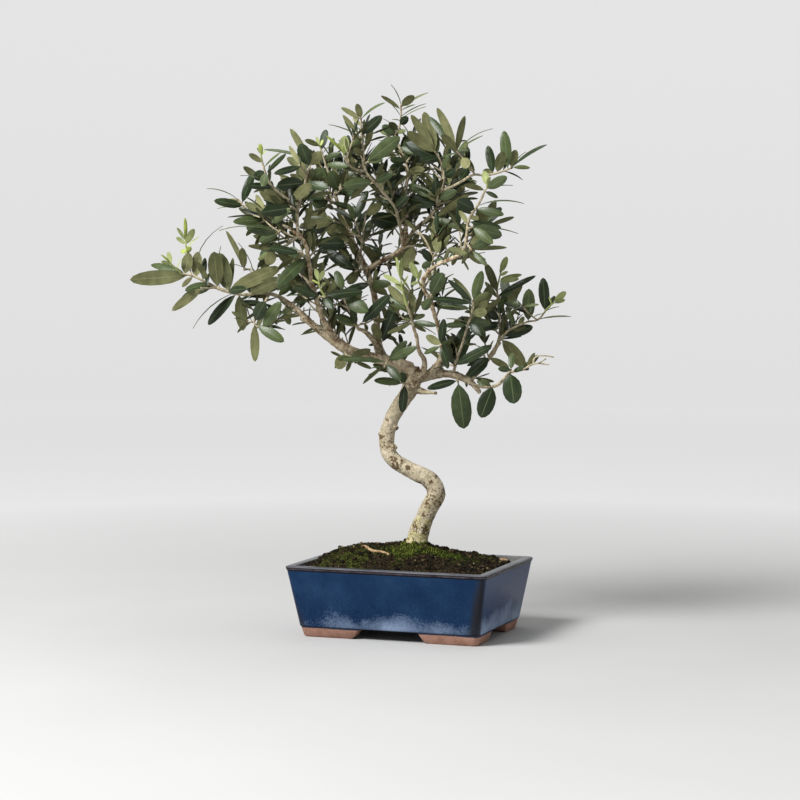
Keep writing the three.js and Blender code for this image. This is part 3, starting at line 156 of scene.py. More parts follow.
def pick(piece, kind, test):
    """In edit mode, selects the faces, edges or corners whose middle (in mm) and direction pass the test."""
    if piece.mode != "EDIT":
        only(piece)
        bpy.ops.object.mode_set(mode="EDIT")
    bpy.ops.mesh.select_mode(type=kind)
    bpy.ops.mesh.select_all(action="DESELECT")
    shape = bmesh.from_edit_mesh(piece.data)
    for item in {"VERT": shape.verts, "EDGE": shape.edges, "FACE": shape.faces}[kind]:
        if kind == "FACE":
            middle, direction = item.calc_center_median(), item.normal
        elif kind == "EDGE":
            a, b = item.verts
            middle, direction = (a.co + b.co) / 2, (b.co - a.co).normalized()
        else:
            middle, direction = item.co, item.normal
        if test(middle / MM, direction):
            item.select_set(True)
    shape.select_flush_mode()
    bmesh.update_edit_mesh(piece.data)


def push(*shift):
    """Extrudes what is picked by a shift in millimetres."""
    bpy.ops.mesh.extrude_region_move(TRANSFORM_OT_translate={"value": [v * MM for v in shift]})


def modify(piece, kind, **settings):
    """Adds a modifier and applies it."""
    only(piece)
    modifier = piece.modifiers.new(kind.lower(), kind)
    for name, value in settings.items():
        setattr(modifier, name, value)
    bpy.ops.object.modifier_apply(modifier=modifier.name)


def moved(piece):
    """Takes a piece made round the origin to the pot's middle, with its place in its mesh."""
    piece.location = MIDDLE
    bpy.ops.object.transform_apply(location=True)


def joined(name, pieces):
    """The pieces as one, in the first one's place."""
    only(*pieces)
    if len(pieces) > 1:
        bpy.ops.object.join()
    pieces[0].name = pieces[0].data.name = name
    return pieces[0]


def finished(piece, slot, *nodes):
    """The piece rides on the pot's body and stands for these CAD nodes; slot is not used."""
    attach(piece, "root")
    if nodes:
        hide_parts(*nodes)
    piece.data.calc_loop_triangles()
    print(piece.name, len(piece.data.loop_triangles), "triangles")
    return piece


# %% [markdown]
# ## Helpers for materials
#
# Colours are written as sRGB hex values, and one function turns them to the linear values that the renderer
# works in. One small function adds a node with its settings and its links. A list gives the inputs in their
# order: a Map Range takes a value, the two ends it is read between and the two ends of what comes out,
# which are 0 and 1 where they aren't given.


# %% Material helpers
def linear(text):
    """An sRGB hex colour as linear red, green, blue and alpha."""
    parts = [int(text[i:i + 2], 16) / 255 for i in (1, 3, 5)]
    return [v / 12.92 if v <= 0.04045 else ((v + 0.055) / 1.055) ** 2.4 for v in parts] + [1.0]


def add(tree, kind, inputs=(), stops=(), out=0, **settings):
    """Adds a node and gives one of its outputs, or all of them where out is None. Inputs are values or other
    nodes' outputs, by name or in their order, and stops are a ramp's (position, colour)."""
    made = tree.nodes.new("ShaderNode" + kind)
    for name, value in settings.items():
        setattr(made, name, value)
    for name, value in inputs.items() if isinstance(inputs, dict) else enumerate(inputs):
        if isinstance(value, bpy.types.NodeSocket):
            tree.links.new(value, made.inputs[name])
        else:
            made.inputs[name].default_value = linear(value) if isinstance(value, str) else value
    for i, (position, shade) in enumerate(stops):
        ramp = made.color_ramp.elements
        element = ramp[i] if i < 2 else ramp.new(position)
        element.position = position
        element.color = linear(shade)
    return made.outputs if out is None else made.outputs[out]


def material(name, **sockets):
    """A new material, its tree, its shader and the place on the piece, in metres from the pot's middle."""
    made = bpy.data.materials.new(name)
    made.use_nodes = True
    tree = made.node_tree
    shader = tree.nodes["Principled BSDF"]
    for socket, value in sockets.items():
        shader.inputs[socket.replace("_", " ")].default_value = value
    place = add(tree, "TexCoord", out="Object")
    middle = add(tree, "Mapping", {"Vector": place, "Location": -MIDDLE})
    return made, tree, shader, middle


def link(shader, **outputs):
    """Links outputs to the shader's sockets of these names."""
    for socket, output in outputs.items():
        shader.id_data.links.new(output, shader.inputs[socket.replace("_", " ")])


print("helpers are ready")

# %% [markdown]
# ## The glaze
#
# The pot is stoneware with a cobalt glaze, dipped and fired. Glaze runs while it melts: it thins over an
# edge, where the iron of the clay shows through as dark brown, and it gathers pale and milky above the
# line where it was wiped off. So the colour follows the pot's own shape. The distance from the nearest
# upright corner comes from the place on the pot, because the walls flare evenly with height.

# %% Glaze
# The pot in millimetres: its mouth, its underside, and the heights of both.
TOP_X, TOP_Y, BOTTOM_X, BOTTOM_Y, TOP, BODY = 208, 157.3, 187.5, 134.5, 70.5, 10.5
glaze, tree, shader, spot = material("cobalt_stoneware_glaze", Roughness=0.26, IOR=1.18)
xyz = add(tree, "SeparateXYZ", [spot], out=None)
foot_x, foot_y = BOTTOM_X / 2 * MM, BOTTOM_Y / 2 * MM
flare_x, flare_y = TOP_X / 2 * MM - foot_x, TOP_Y / 2 * MM - foot_y
share = add(tree, "MapRange", [xyz["Z"], BODY * MM, TOP * MM], clamp=False)
half_x = add(tree, "Math", [share, flare_x, foot_x], operation="MULTIPLY_ADD")
half_y = add(tree, "Math", [share, flare_y, foot_y], operation="MULTIPLY_ADD")
size_x = add(tree, "Math", [xyz["X"]], operation="ABSOLUTE")
size_y = add(tree, "Math", [xyz["Y"]], operation="ABSOLUTE")
in_x = add(tree, "Math", [half_x, size_x], operation="SUBTRACT")
in_y = add(tree, "Math", [half_y, size_y], operation="SUBTRACT")
along_y = add(tree, "Math", [in_y, 2.2], operation="MULTIPLY")
from_corner = add(tree, "Math", [in_x, along_y], operation="MAXIMUM")
from_wall = add(tree, "Math", [in_x, in_y], operation="MINIMUM")
# Runs are long upright streaks, about 4 mm wide and 40 mm long.
tall = add(tree, "Mapping", {"Vector": spot, "Scale": (1, 1, 0.12)})
runs = add(tree, "TexNoise", {"Vector": tall, "Scale": 120, "Detail": 3})
cloud = add(tree, "TexNoise", {"Vector": spot, "Scale": 28, "Detail": 5, "Roughness": 0.6})
fleck = add(tree, "TexNoise", {"Vector": spot, "Scale": 620, "Detail": 3, "Roughness": 0.7})
body = add(tree, "ValToRGB", [cloud], stops=[(0.32, "#0a2240"), (0.7, "#1b3553"), (0.5, "#122b49")])
# The short walls are a greyer, more lavender blue than the long ones.
short_wall = add(tree, "MapRange", [in_x, 0.0035, 0.001, 0.0, 0.7])
walls = add(tree, "MixRGB", [short_wall, body, "#263a5c"])
specks = add(tree, "ValToRGB", [fleck], stops=[(0.5, "#000000"), (0.64, "#5a5a5a")])
low = add(tree, "MapRange", [xyz["Z"], 0.062, 0.014, 0.45, 1.7])
specks = add(tree, "Math", [specks, low], operation="MULTIPLY")
flecked = add(tree, "MixRGB", [specks, walls, "#3c5f96"])
# The milky band is 10 to 30 mm up, in patches about 35 mm wide, and strongest in the middle of a wall.
band = add(tree, "MapRange", [xyz["Z"], 0.037, 0.015, -0.34, 0.36])
aside = add(tree, "MapRange", [size_x, 0.07, 0.014, -0.1, 0.2])
patches = add(tree, "TexNoise", {"Vector": spot, "Scale": 24, "Detail": 4, "Roughness": 0.6})
patches = add(tree, "Math", [patches, 1.3, -0.15], operation="MULTIPLY_ADD")
milk = add(tree, "Math", [band, patches], operation="ADD")
milk = add(tree, "Math", [milk, aside], operation="ADD")
milk = add(tree, "Math", [short_wall, 0.46, milk], operation="MULTIPLY_ADD")
milk = add(tree, "Math", [fleck, 0.55, milk], operation="MULTIPLY_ADD")
milk = add(tree, "MapRange", [milk, 0.92, 1.54, 0.0, 0.72])
milky = add(tree, "MixRGB", [milk, flecked, "#93a6c2"])
print(glaze.name, "body and milky band", len(tree.nodes), "nodes")

# %% [markdown]
# The glaze breaks dark along the upright corners, widest on the right and at the foot, along both edges
# of the lip and in a thin line where it was wiped off. The dark line under the lip is partly that brown
# break and partly painted shadow under the proud lip. The lip's face is a dark warm grey between two darker
# lines, and the flat rim and the top of the inner wall are a lighter grey.

# %% Glaze: where it breaks
wander = add(tree, "Math", [runs, 0.008, -0.004], operation="MULTIPLY_ADD")
corner = add(tree, "Math", [from_corner, wander], operation="ADD")
corner = add(tree, "Math", [share, 0.006, corner], operation="MULTIPLY_ADD")
side = add(tree, "MapRange", [xyz["X"], -0.03, 0.03, 0.006, 0.0])
corner = add(tree, "Math", [corner, side], operation="ADD")
corner = add(tree, "MapRange", [corner, 0.0085, 0.015, 0.92, 0.0])
colour = add(tree, "MixRGB", [corner, milky, "#232326"])
lip_face = add(tree, "ValToRGB", [runs], stops=[(0.35, "#252125"), (0.65, "#48424a")])
rim_face = add(tree, "ValToRGB", [cloud], stops=[(0.35, "#36373c"), (0.65, "#58595e")])
wall_face = add(tree, "ValToRGB", [cloud], stops=[(0.35, "#4a4a49"), (0.65, "#747472")])
# Each finish from a height upwards: the line under the lip, partly painted shadow, its face, the line
# above and the rounded edge.
for height, shade in ((0.0659, "#121318"), (0.0672, lip_face), (0.0685, "#1e1b1c"), (0.0693, rim_face)):
    above = add(tree, "Math", [xyz["Z"], height], operation="GREATER_THAN")
    colour = add(tree, "MixRGB", [above, colour, shade])
for depth, shade in ((0.0017, rim_face), (0.0076, wall_face)):
    inward = add(tree, "Math", [from_wall, depth], operation="GREATER_THAN")
    colour = add(tree, "MixRGB", [inward, colour, shade])
foot_line = add(tree, "MapRange", [xyz["Z"], 0.0118, 0.011, 0.0, 0.7])
colour = add(tree, "MixRGB", [foot_line, colour, "#15161c"])
skin = add(tree, "Bump", {"Strength": 0.12, "Distance": 0.0004, "Height": cloud})
link(shader, Base_Color=colour, Normal=skin)
print(glaze.name, len(tree.nodes), "nodes")

# %% [markdown]
# The feet and the underside were wiped bare before firing. Bare stoneware is matt and slightly gritty, a warm
# brown with grit of a quarter of a millimetre, drawn here at half a millimetre so that it shows. The glaze
# ends in a wavering line near the top of the feet.

# %% Bare clay
clay, tree, shader, spot = material("bare_fired_stoneware", Roughness=0.85)
grit = add(tree, "TexNoise", {"Vector": spot, "Scale": 900, "Detail": 4, "Roughness": 0.7})
broad = add(tree, "TexNoise", {"Vector": spot, "Scale": 60, "Detail": 3})
tone = add(tree, "ValToRGB", [grit], stops=[(0.3, "#7f5b4a"), (0.7, "#a98271")])
stain = add(tree, "ValToRGB", [broad], stops=[(0.35, "#b8a698"), (0.62, "#ffffff")])
worn = add(tree, "MixRGB", [0.6, tone, stain], blend_type="MULTIPLY")
high = add(tree, "SeparateXYZ", [spot], out="Z")
line = add(tree, "Math", [broad, 0.003, high], operation="MULTIPLY_ADD")
line = add(tree, "MapRange", [line, 0.0103, 0.0107])
ended = add(tree, "MixRGB", [line, worn, "#1b2740"])
bump = add(tree, "Bump", {"Strength": 0.5, "Distance": 0.0003, "Height": grit})
link(shader, Base_Color=ended, Normal=bump)
print(clay.name)

# %% [markdown]
# ## The pot
#
# A tray like this is pressed in a mould: flared walls with rounded corners, a flat rim with a fine lip, and
# four L-shaped feet. It could be a loft, but a cube is quicker. The bottom face is drawn in, the rim is
# inset, the inside is pushed down from it, and the upright edges are bevelled, wider outside.

# %% Pot: walls and rim
RIM, FLOOR = 8, 17  # how wide the rim is, and how high the floor lies
FLOOR_SHARE = (0.905, 0.856, 1)  # of the mouth's size
CORNER_OUT, CORNER_IN = 5.5, 3  # the radii of the upright corners
wall_height = TOP - BODY
pot = start("pot_fired", bpy.ops.mesh.primitive_cube_add, (TOP_X, TOP_Y, wall_height),
            (0, 0, BODY + wall_height / 2), size=1)
pick(pot, "FACE", lambda p, n: n.z < -0.9)
draw_in = (BOTTOM_X / TOP_X, BOTTOM_Y / TOP_Y, 1)
bpy.ops.transform.resize(value=draw_in, center_override=(0, 0, BODY * MM))
pick(pot, "FACE", lambda p, n: n.z > 0.9)
bpy.ops.mesh.inset(thickness=RIM * MM)
push(0, 0, FLOOR - TOP)
bpy.ops.transform.resize(value=FLOOR_SHARE, center_override=(0, 0, FLOOR * MM))
pick(pot, "EDGE", lambda p, d: abs(d.z) > 0.9 and abs(p.x) > 95)
bpy.ops.mesh.bevel(offset=CORNER_OUT * MM, offset_type="OFFSET", segments=8, affect="EDGES")
pick(pot, "EDGE", lambda p, d: abs(d.z) > 0.9 and abs(p.x) < 94 and abs(p.y) < 68 and 40 < p.z < 50)
bpy.ops.mesh.bevel(offset=CORNER_IN * MM, offset_type="OFFSET", segments=5, affect="EDGES")
bpy.ops.object.mode_set(mode="OBJECT")
print("walls", len(pot.data.vertices), "corners before the lip")

# %% [markdown]
# The lip is a low band round the outside, 0.6 mm proud. The outer faces are cut at three heights, the ring of
# corners between the cuts is moved out and the ring at the very top is moved in.

# %% Pot: the lip, the softened edges and the drain holes
PROUD, BACK_IN = (1.0058, 1.0077, 1), (0.9942, 0.9924, 1)  # 0.6 mm on each side, out and in
HOLES = {"left": -46, "right": 46}  # the middle of each drain hole
for height in (66.5, 67.1, 69.9):
    pick(pot, "FACE", lambda p, n: n.xy.length > 0.5 and n.xy.dot(p.xy) > 0)
    bpy.ops.mesh.bisect(plane_co=(0, 0, height * MM), plane_no=(0, 0, 1))
pick(pot, "VERT", lambda p, n: 66.9 < p.z < 70.1)
bpy.ops.transform.resize(value=PROUD)
pick(pot, "VERT", lambda p, n: p.z > 70.1 and (abs(p.x) > 98 or abs(p.y) > 73))
bpy.ops.transform.resize(value=BACK_IN)
modify(pot, "BEVEL", width=0.5 * MM, segments=2, limit_method="ANGLE", angle_limit=math.radians(35))
for x in HOLES.values():
    drill = start("drill", bpy.ops.mesh.primitive_cylinder_add, (1, 1, 1), (x, 0, 14), vertices=40,
                  radius=7, depth=12)
    modify(pot, "BOOLEAN", operation="DIFFERENCE", object=drill, solver="EXACT")
    bpy.data.objects.remove(drill)
print("pot", len(pot.data.polygons), "faces")

# %% [markdown]
# One foot is modelled at a corner: a block with a rounded outer edge and an arm pushed out along each wall.
# It is cut near the ground, and its ends and faces lean in there. The other three feet are its mirror images,
# whose normals are then made to point outwards.

# %% Pot: feet
FOOT_X, FOOT_Y, WIDE, LONG_X, LONG_Y = 92.95, 66.45, 15, 62.5, 45  # outer faces, and the two arms
END_X, END_Y = FOOT_X - LONG_X + 1, FOOT_Y - LONG_Y + 1
foot = start("foot", bpy.ops.mesh.primitive_cube_add, (WIDE, WIDE, 15),
             (FOOT_X - WIDE / 2, FOOT_Y - WIDE / 2, 7.5), size=1)
pick(foot, "EDGE", lambda p, d: abs(d.z) > 0.9 and p.x > 92 and p.y > 66)
bpy.ops.mesh.bevel(offset=5.4 * MM, segments=5, affect="EDGES")
pick(foot, "FACE", lambda p, n: n.x < -0.9)
push(WIDE - LONG_X, 0, 0)
pick(foot, "FACE", lambda p, n: n.y < -0.9 and p.x > FOOT_X - WIDE)
push(0, WIDE - LONG_Y, 0)
for level in (2.2, 10.5):
    bpy.ops.mesh.select_all(action="SELECT")
    bpy.ops.mesh.bisect(plane_co=(0, 0, level * MM), plane_no=(0, 0, 1))
for level, slope, lean in ((0, 10, 3.4), (2.2, 5.5, 2)):
    for axis, (x, y), end, face in ((0, (1, 0), END_X, FOOT_X), (1, (0, 1), END_Y, FOOT_Y)):
        pick(foot, "VERT", lambda p, n: abs(p.z - level) < 0.1 and p[axis] < end)
        bpy.ops.transform.translate(value=(x * slope * MM, y * slope * MM, 0))
        pick(foot, "VERT", lambda p, n: abs(p.z - level) < 0.1 and p[axis] > face - 6)
        bpy.ops.transform.translate(value=(-x * lean * MM, -y * lean * MM, 0))
modify(foot, "BEVEL", width=0.7 * MM, segments=2, limit_method="ANGLE", angle_limit=math.radians(28))
modify(foot, "MIRROR", use_axis=(True, True, False), use_mirror_merge=False)
pick(foot, "FACE", lambda p, n: True)
bpy.ops.mesh.normals_make_consistent(inside=False)
bpy.ops.object.mode_set(mode="OBJECT")
print("feet", len(foot.data.polygons), "faces")

# %% [markdown]
# The walls are glazed. The feet, the underside and the floor inside are bare clay, so those faces take the
# second finish. Then the pot is moved to its place, and that place goes into its mesh.

# %% Pot: finishes and place
pot.data.materials.append(glaze)
pot.data.materials.append(clay)
foot.data.materials.append(clay)
for face in pot.data.polygons:
    bare = face.normal.z < -0.9 or (face.normal.z > 0.9 and face.center.z / MM < 30)
    face.material_index = 1 if bare else 0
pot = joined("pot_fired", [pot, foot])
moved(pot)
bpy.ops.object.shade_smooth_by_angle(angle=math.radians(35))
finished(pot, "glaze", "pot")

# %% [markdown]
# ## Drainage screens
#
# A square of plastic mesh lies over each drain hole, so that the soil stays in. A grid with its faces opened
# by a wireframe is that mesh: threads of 0.6 mm, 2.4 mm apart.

# %% Drainage screens
netting, tree, shader, spot = material("black_polythene_netting", Roughness=0.5)
dust = add(tree, "TexNoise", {"Vector": spot, "Scale": 300, "Detail": 3})
dusty = add(tree, "ValToRGB", [dust], stops=[(0.4, "#1c1c1b"), (0.75, "#4b4238")])
link(shader, Base_Color=dusty)
for side, x in HOLES.items():
    screen = start("screen_" + side + "_net", bpy.ops.mesh.primitive_grid_add, (25.2, 25.2, 1), (x, 0, 17.8),
                   x_subdivisions=11, y_subdivisions=11, size=1)
    modify(screen, "WIREFRAME", thickness=0.6 * MM, use_replace=True)
    screen.data.materials.append(netting)
    moved(screen)
    finished(screen, "screen", "screen_" + side)

# %% [markdown]
# ## One mesh from many copies
#
# Crumbs, moss and leaves are modelled once and copied hundreds of times. Hundreds of objects would be slow to
# handle, so each sort becomes one mesh: the template's faces, finishes and unwrapping are repeated, and
# every copy gets its own corners. A number called tone is kept with each copy, for the materials to read.


# %% Copies of a template
def repeated(name, template, places, tones):
    """places has the shape (copies, corners, 3), in metres, and tones one number for each copy."""
    source, places = template.data, np.asarray(places, float)
    copies, corners = places.shape[:2]
    loops = np.empty(len(source.loops), int)
    source.loops.foreach_get("vertex_index", loops)
    first = np.empty(len(source.polygons), int)
    source.polygons.foreach_get("loop_start", first)
    finish = np.empty(len(source.polygons), int)
    source.polygons.foreach_get("material_index", finish)
    unwrapped = np.empty(len(source.loops) * 2)
    source.uv_layers.active.data.foreach_get("uv", unwrapped)
    number = np.arange(copies)[:, None]
    mesh = bpy.data.meshes.new(name)
    mesh.vertices.add(copies * corners)
    mesh.vertices.foreach_set("co", places.ravel())
    mesh.loops.add(copies * len(loops))
    mesh.loops.foreach_set("vertex_index", (loops + number * corners).ravel())
    mesh.polygons.add(copies * len(first))
    mesh.polygons.foreach_set("loop_start", (first + number * len(loops)).ravel())
    mesh.polygons.foreach_set("material_index", np.tile(finish, copies))
    mesh.polygons.foreach_set("use_smooth", np.ones(copies * len(first), bool))
    mesh.uv_layers.new(name="UVMap").data.foreach_set("uv", np.tile(unwrapped, copies))
    mesh.attributes.new("tone", "FLOAT", "POINT").data.foreach_set("value", np.repeat(tones, corners))
    mesh.update(calc_edges=True)
    mesh.validate()
    mesh.set_sharp_from_angle(angle=math.radians(50))
    for finish in source.materials:
        mesh.materials.append(finish)
    piece = bpy.data.objects.new(name, mesh)
    bpy.context.scene.collection.objects.link(piece)
    return piece


def corners_of(piece):
    """The places of a piece's corners, one row for each."""
    places = np.empty(len(piece.data.vertices) * 3)
    piece.data.vertices.foreach_get("co", places)
    return places.reshape(-1, 3)


print("copies are ready")

# %% [markdown]
# ## The soil
#
# Bonsai soil is pressed into a mound that falls from the trunk's foot to the walls. Its height at a place
# follows how far out that place lies between the trunk and the wall, with a collar of moss at the trunk and
# more soil on the left. A fine grid takes those heights, with small noise for the pressed crumbs, and its
# border is pushed down to close it.

# %% Heights of the mound
TRUNK_FOOT = (sight(6, 55, 0) - MIDDLE) / MM
HALF_X, HALF_Y = 94.5, 69.1  # inside the walls, at the height where the mound meets them
OUT, HEIGHT = (0, 0.06, 0.28, 0.62, 0.88, 1), (91.8, 90.2, 85.6, 79.4, 72, 64)
# Patches of moss: right and back of the trunk's foot, radius, how bright. All in millimetres.
MOSS = [(-8, -24, 19, 1), (14, -22, 15, 1), (30, -30, 17, 0.9), (-30, -22, 15, 0.6), (0, -8, 13, 0.8),
        (-52, -16, 18, 0.34), (-72, -6, 15, 0.3), (6, 14, 17, 0.6), (48, -26, 15, 0.55), (-62, -38, 18, 0.4),
        (74, 2, 12, 0.25), (-86, -26, 11, 0.35), (62, 2, 14, 0.3), (24, 32, 20, 0.7), (-20, 34, 18, 0.5),
        (-58, 30, 17, 0.4), (60, 36, 16, 0.35), (-16, -44, 9, 0.5), (40, -52, 9, 0.4)]


def in_room(right, back):
    """A place right and back of the trunk's foot, as x and y in millimetres from the pot's middle."""
    across = RIGHTWARD * right + BACKWARD * back
    return TRUNK_FOOT.x + across.x, TRUNK_FOOT.y + across.y


MOSS_SPOTS = [(*in_room(right, back), radius, bright) for right, back, radius, bright in MOSS]


def moss_at(x, y):
    """How mossy the soil is at a place, from 0 to 1."""
    ragged = noise.noise(Vector((x, y, 3)) / 6) * 12
    found = [b * min(1, max(0, (r - math.hypot(x - mx, y - my) + ragged) / 6)) for mx, my, r, b in MOSS_SPOTS]
    return max(found)


def mound(x, y):
    """How high the soil is at a place, in millimetres."""
    sides = ((x - TRUNK_FOOT.x) / (HALF_X - TRUNK_FOOT.x), (TRUNK_FOOT.x - x) / (HALF_X + TRUNK_FOOT.x),
             (y - TRUNK_FOOT.y) / (HALF_Y - TRUNK_FOOT.y), (TRUNK_FOOT.y - y) / (HALF_Y + TRUNK_FOOT.y))
    out = sum(max(side, 0) ** 7 for side in sides) ** (1 / 7)  # 0 at the trunk, 1 at the walls
    place = Vector((x, y, 0))
    rough = noise.noise(place / 15) * 1.8 + noise.noise(place / 5) * 1.5 + noise.noise(place / 2.1) * 0.7
    right = (x - TRUNK_FOOT.x) * RIGHTWARD.x + (y - TRUNK_FOOT.y) * RIGHTWARD.y
    tilt = (-0.2 * right if right > 0 else 0.5 * max(0, -35 - right)) * max(0, 1 - out)
    collar = 3 * math.exp(-((x - TRUNK_FOOT.x) ** 2 + (y - TRUNK_FOOT.y) ** 2) / 150)
    height = float(np.interp(out, OUT, HEIGHT)) + tilt + collar
    return height + rough * min(1, 4 * (1.02 - min(out, 1))) + moss_at(x, y)


def mound_seen(across, up):
    """The place on the mound that shows at a place of the drawing, in metres."""
    for step in range(-90, 90):
        place = sight(across, up, step / DEPTH)
        near = (place - MIDDLE) / MM
        if abs(near.x) < HALF_X and abs(near.y) < HALF_Y and mound(near.x, near.y) >= near.z:
            return place
    raise ValueError("the mound doesn't show there")


print("the mound is", round(mound(TRUNK_FOOT.x, TRUNK_FOOT.y), 1), "mm high at the trunk")

# %% [markdown]
# Damp peat is nearly black and quite dull, with crumbs of about 2 mm, and it is green under the moss.

# %% Peat
peat, tree, shader, spot = material("damp_peat", Roughness=0.95, Specular_IOR_Level=0.1)
mossy = add(tree, "Attribute", attribute_name="moss", out="Fac")
grain = add(tree, "TexNoise", {"Vector": spot, "Scale": 420, "Detail": 5, "Roughness": 0.7})
dark = add(tree, "ValToRGB", [grain], stops=[(0.34, "#0b0904"), (0.7, "#463b26"), (0.55, "#1f190e")])
green = add(tree, "ValToRGB", [grain], stops=[(0.34, "#0f1305"), (0.68, "#5f6a26")])
soil_shade = add(tree, "MixRGB", [mossy, dark, green])
bump = add(tree, "Bump", {"Strength": 0.9, "Distance": 0.0008, "Height": grain})
link(shader, Base_Color=soil_shade, Normal=bump)
print(peat.name)

# %% [markdown]
# The grid is lifted to the mound's heights. Its open border is then pushed down between the walls and drawn
# in, and one face closes it there.

# %% The mound
soil = start("peat_mound", bpy.ops.mesh.primitive_grid_add, (2 * HALF_X, 2 * HALF_Y, 1), (0, 0, 64),
             x_subdivisions=150, y_subdivisions=112, size=1)
for corner in soil.data.vertices:
    x, y = corner.co.x / MM, corner.co.y / MM
    corner.co.z = mound(x, y) * MM
mossy = [min(1, moss_at(c.co.x / MM, c.co.y / MM) * 1.2) for c in soil.data.vertices]
soil.data.attributes.new("moss", "FLOAT", "POINT").data.foreach_set("value", mossy)
only(soil)
bpy.ops.object.mode_set(mode="EDIT")
bpy.ops.mesh.select_mode(type="EDGE")
bpy.ops.mesh.select_all(action="DESELECT")
bpy.ops.mesh.select_non_manifold()
push(0, 0, -45)
bpy.ops.transform.resize(value=(0.91, 0.88, 0), center_override=(0, 0, 18.8 * MM))
bpy.ops.mesh.edge_face_add()
bpy.ops.mesh.select_all(action="SELECT")
bpy.ops.mesh.normals_make_consistent(inside=False)
bpy.ops.object.mode_set(mode="OBJECT")
soil.data.materials.append(peat)
moved(soil)
bpy.ops.object.shade_smooth()
finished(soil, "soil", "soil")

# %% [markdown]
# Crumbs of peat and grit lie on the mound, 1 to 5 mm across. A ball of a few faces, pulled about, is one
# crumb. Each copy is turned, stretched and sunk a little. Most are near black, some brown, a few pale.

# %% Crumbs
crumb_peat, tree, shader, spot = material("peat_crumbs_and_grit", Roughness=0.9, Specular_IOR_Level=0.1)
tone = add(tree, "Attribute", attribute_name="tone", out="Fac")
grain = add(tree, "TexNoise", {"Vector": spot, "Scale": 900, "Detail": 3})
shade = add(tree, "ValToRGB", [tone], stops=[(0.0, "#0c0a05"), (1.0, "#a3906c"), (0.55, "#1f190e"),
                                             (0.85, "#3a301e"), (0.96, "#5b4e37")])
mottle = add(tree, "ValToRGB", [grain], stops=[(0.3, "#8c8c8c"), (0.7, "#ffffff")])
shade = add(tree, "MixRGB", [0.7, shade, mottle], blend_type="MULTIPLY")
bump = add(tree, "Bump", {"Strength": 0.5, "Distance": 0.0003, "Height": grain})
link(shader, Base_Color=shade, Normal=bump)


def lump(name, faces_level, finish):
    """A ball of a few faces, a metre across, with its corners pulled in and out."""
    piece = start(name, bpy.ops.mesh.primitive_ico_sphere_add, (1000, 1000, 1000), subdivisions=faces_level,
                  radius=0.5)
    for corner in piece.data.vertices:
        corner.co *= 0.78 + 0.44 * random.random()
    piece.data.materials.append(finish)
    return piece


def scattered(name, template, count, sizes, sunk, where):
    """Copies on the mound, each turned and stretched at random, where the test lets them lie."""
    shape, places, tones = corners_of(template), [], []
    while len(places) < count:
        x, y = random.uniform(-HALF_X, HALF_X), random.uniform(-HALF_Y, HALF_Y)
        if not where(x, y):
            continue
        size = sizes[0] + (sizes[1] - sizes[0]) * random.random() ** 2.2
        stretch = [size * random.uniform(0.6, 1.2) * MM for _ in range(3)]
        angle = random.uniform(0, 6.3)
        axis = Vector((random.gauss(0, 1), random.gauss(0, 1), random.gauss(0, 1))).normalized()
        turn = np.array(Matrix.Rotation(angle, 3, axis))
        spot = MIDDLE + Vector((x, y, mound(x, y) + size * (0.5 - sunk))) * MM
        places.append((shape * stretch) @ turn.T + np.array(spot))
        tones.append(random.random())
    return repeated(name, template, places, tones)


def inner(x, y, gap=2):
    """Whether a place is at least this far inside the walls."""
    return abs(x) < HALF_X - gap and abs(y) < HALF_Y - gap


small = scattered("crumbs_small", lump("lump_small", 1, crumb_peat), 3600, (0.8, 2.6), 0.25,
                  lambda x, y: inner(x, y) and moss_at(x, y) < 0.3 + 0.5 * random.random())
large = scattered("crumbs_large", lump("lump_large", 2, crumb_peat), 400, (2, 5.4), 0.4,
                  lambda x, y: inner(x, y, 4) and moss_at(x, y) < 0.5)
finished(joined("soil_crumbs", [small, large]), "soil")
for name in ("lump_small", "lump_large"):
    bpy.data.objects.remove(bpy.data.objects[name])

# %% [markdown]
# Moss grows round the trunk's foot in cushions of thousands of pointed shoots, 1 to 3 mm tall. A four-sided
# cone is one shoot, and the tips of a cushion are lighter than its depth.

# %% Moss
moss_green, tree, shader, spot = material("cushion_moss", Roughness=0.8, Specular_IOR_Level=0.1)
tone = add(tree, "Attribute", attribute_name="tone", out="Fac")
speck = add(tree, "TexNoise", {"Vector": spot, "Scale": 600, "Detail": 2})
shade = add(tree, "ValToRGB", [tone], stops=[(0.0, "#0f1605"), (1.0, "#a8ae50"), (0.4, "#29330f"),
                                             (0.75, "#586622")])
light = add(tree, "ValToRGB", [speck], stops=[(0.3, "#8a8a8a"), (0.65, "#ffffff")])
shade = add(tree, "MixRGB", [0.8, shade, light], blend_type="MULTIPLY")
link(shader, Base_Color=shade)
shoot = start("moss_shoot", bpy.ops.mesh.primitive_cone_add, (1000, 1000, 1000), (0, 0, 500), vertices=4,
              radius1=0.5, radius2=0, depth=1, end_fill_type="NOTHING")
shoot.data.materials.append(moss_green)
shape, places, tones = corners_of(shoot), [], []
while len(places) < 11000:
    x, y = random.uniform(-HALF_X, HALF_X), random.uniform(-HALF_Y, HALF_Y)
    mossy = moss_at(x, y)
    if not inner(x, y) or random.random() > mossy * 1.3:
        continue
    tall = random.uniform(1.2, 2.6) * (0.6 + 0.6 * mossy)
    lean = Matrix.Rotation(random.gauss(0, 0.5), 3, "X") @ Matrix.Rotation(random.uniform(0, 6.3), 3, "Z")
    spot = MIDDLE + Vector((x, y, mound(x, y) - 0.4)) * MM
    places.append((shape * np.array([0.9, 0.9, tall]) * MM) @ np.array(lean).T + np.array(spot))
    tones.append(min(1, max(0, mossy * random.uniform(0.2, 1) ** 1.3)))
moss = repeated("moss_cushions", shoot, places, tones)
bpy.data.objects.remove(shoot)
finished(moss, "soil")

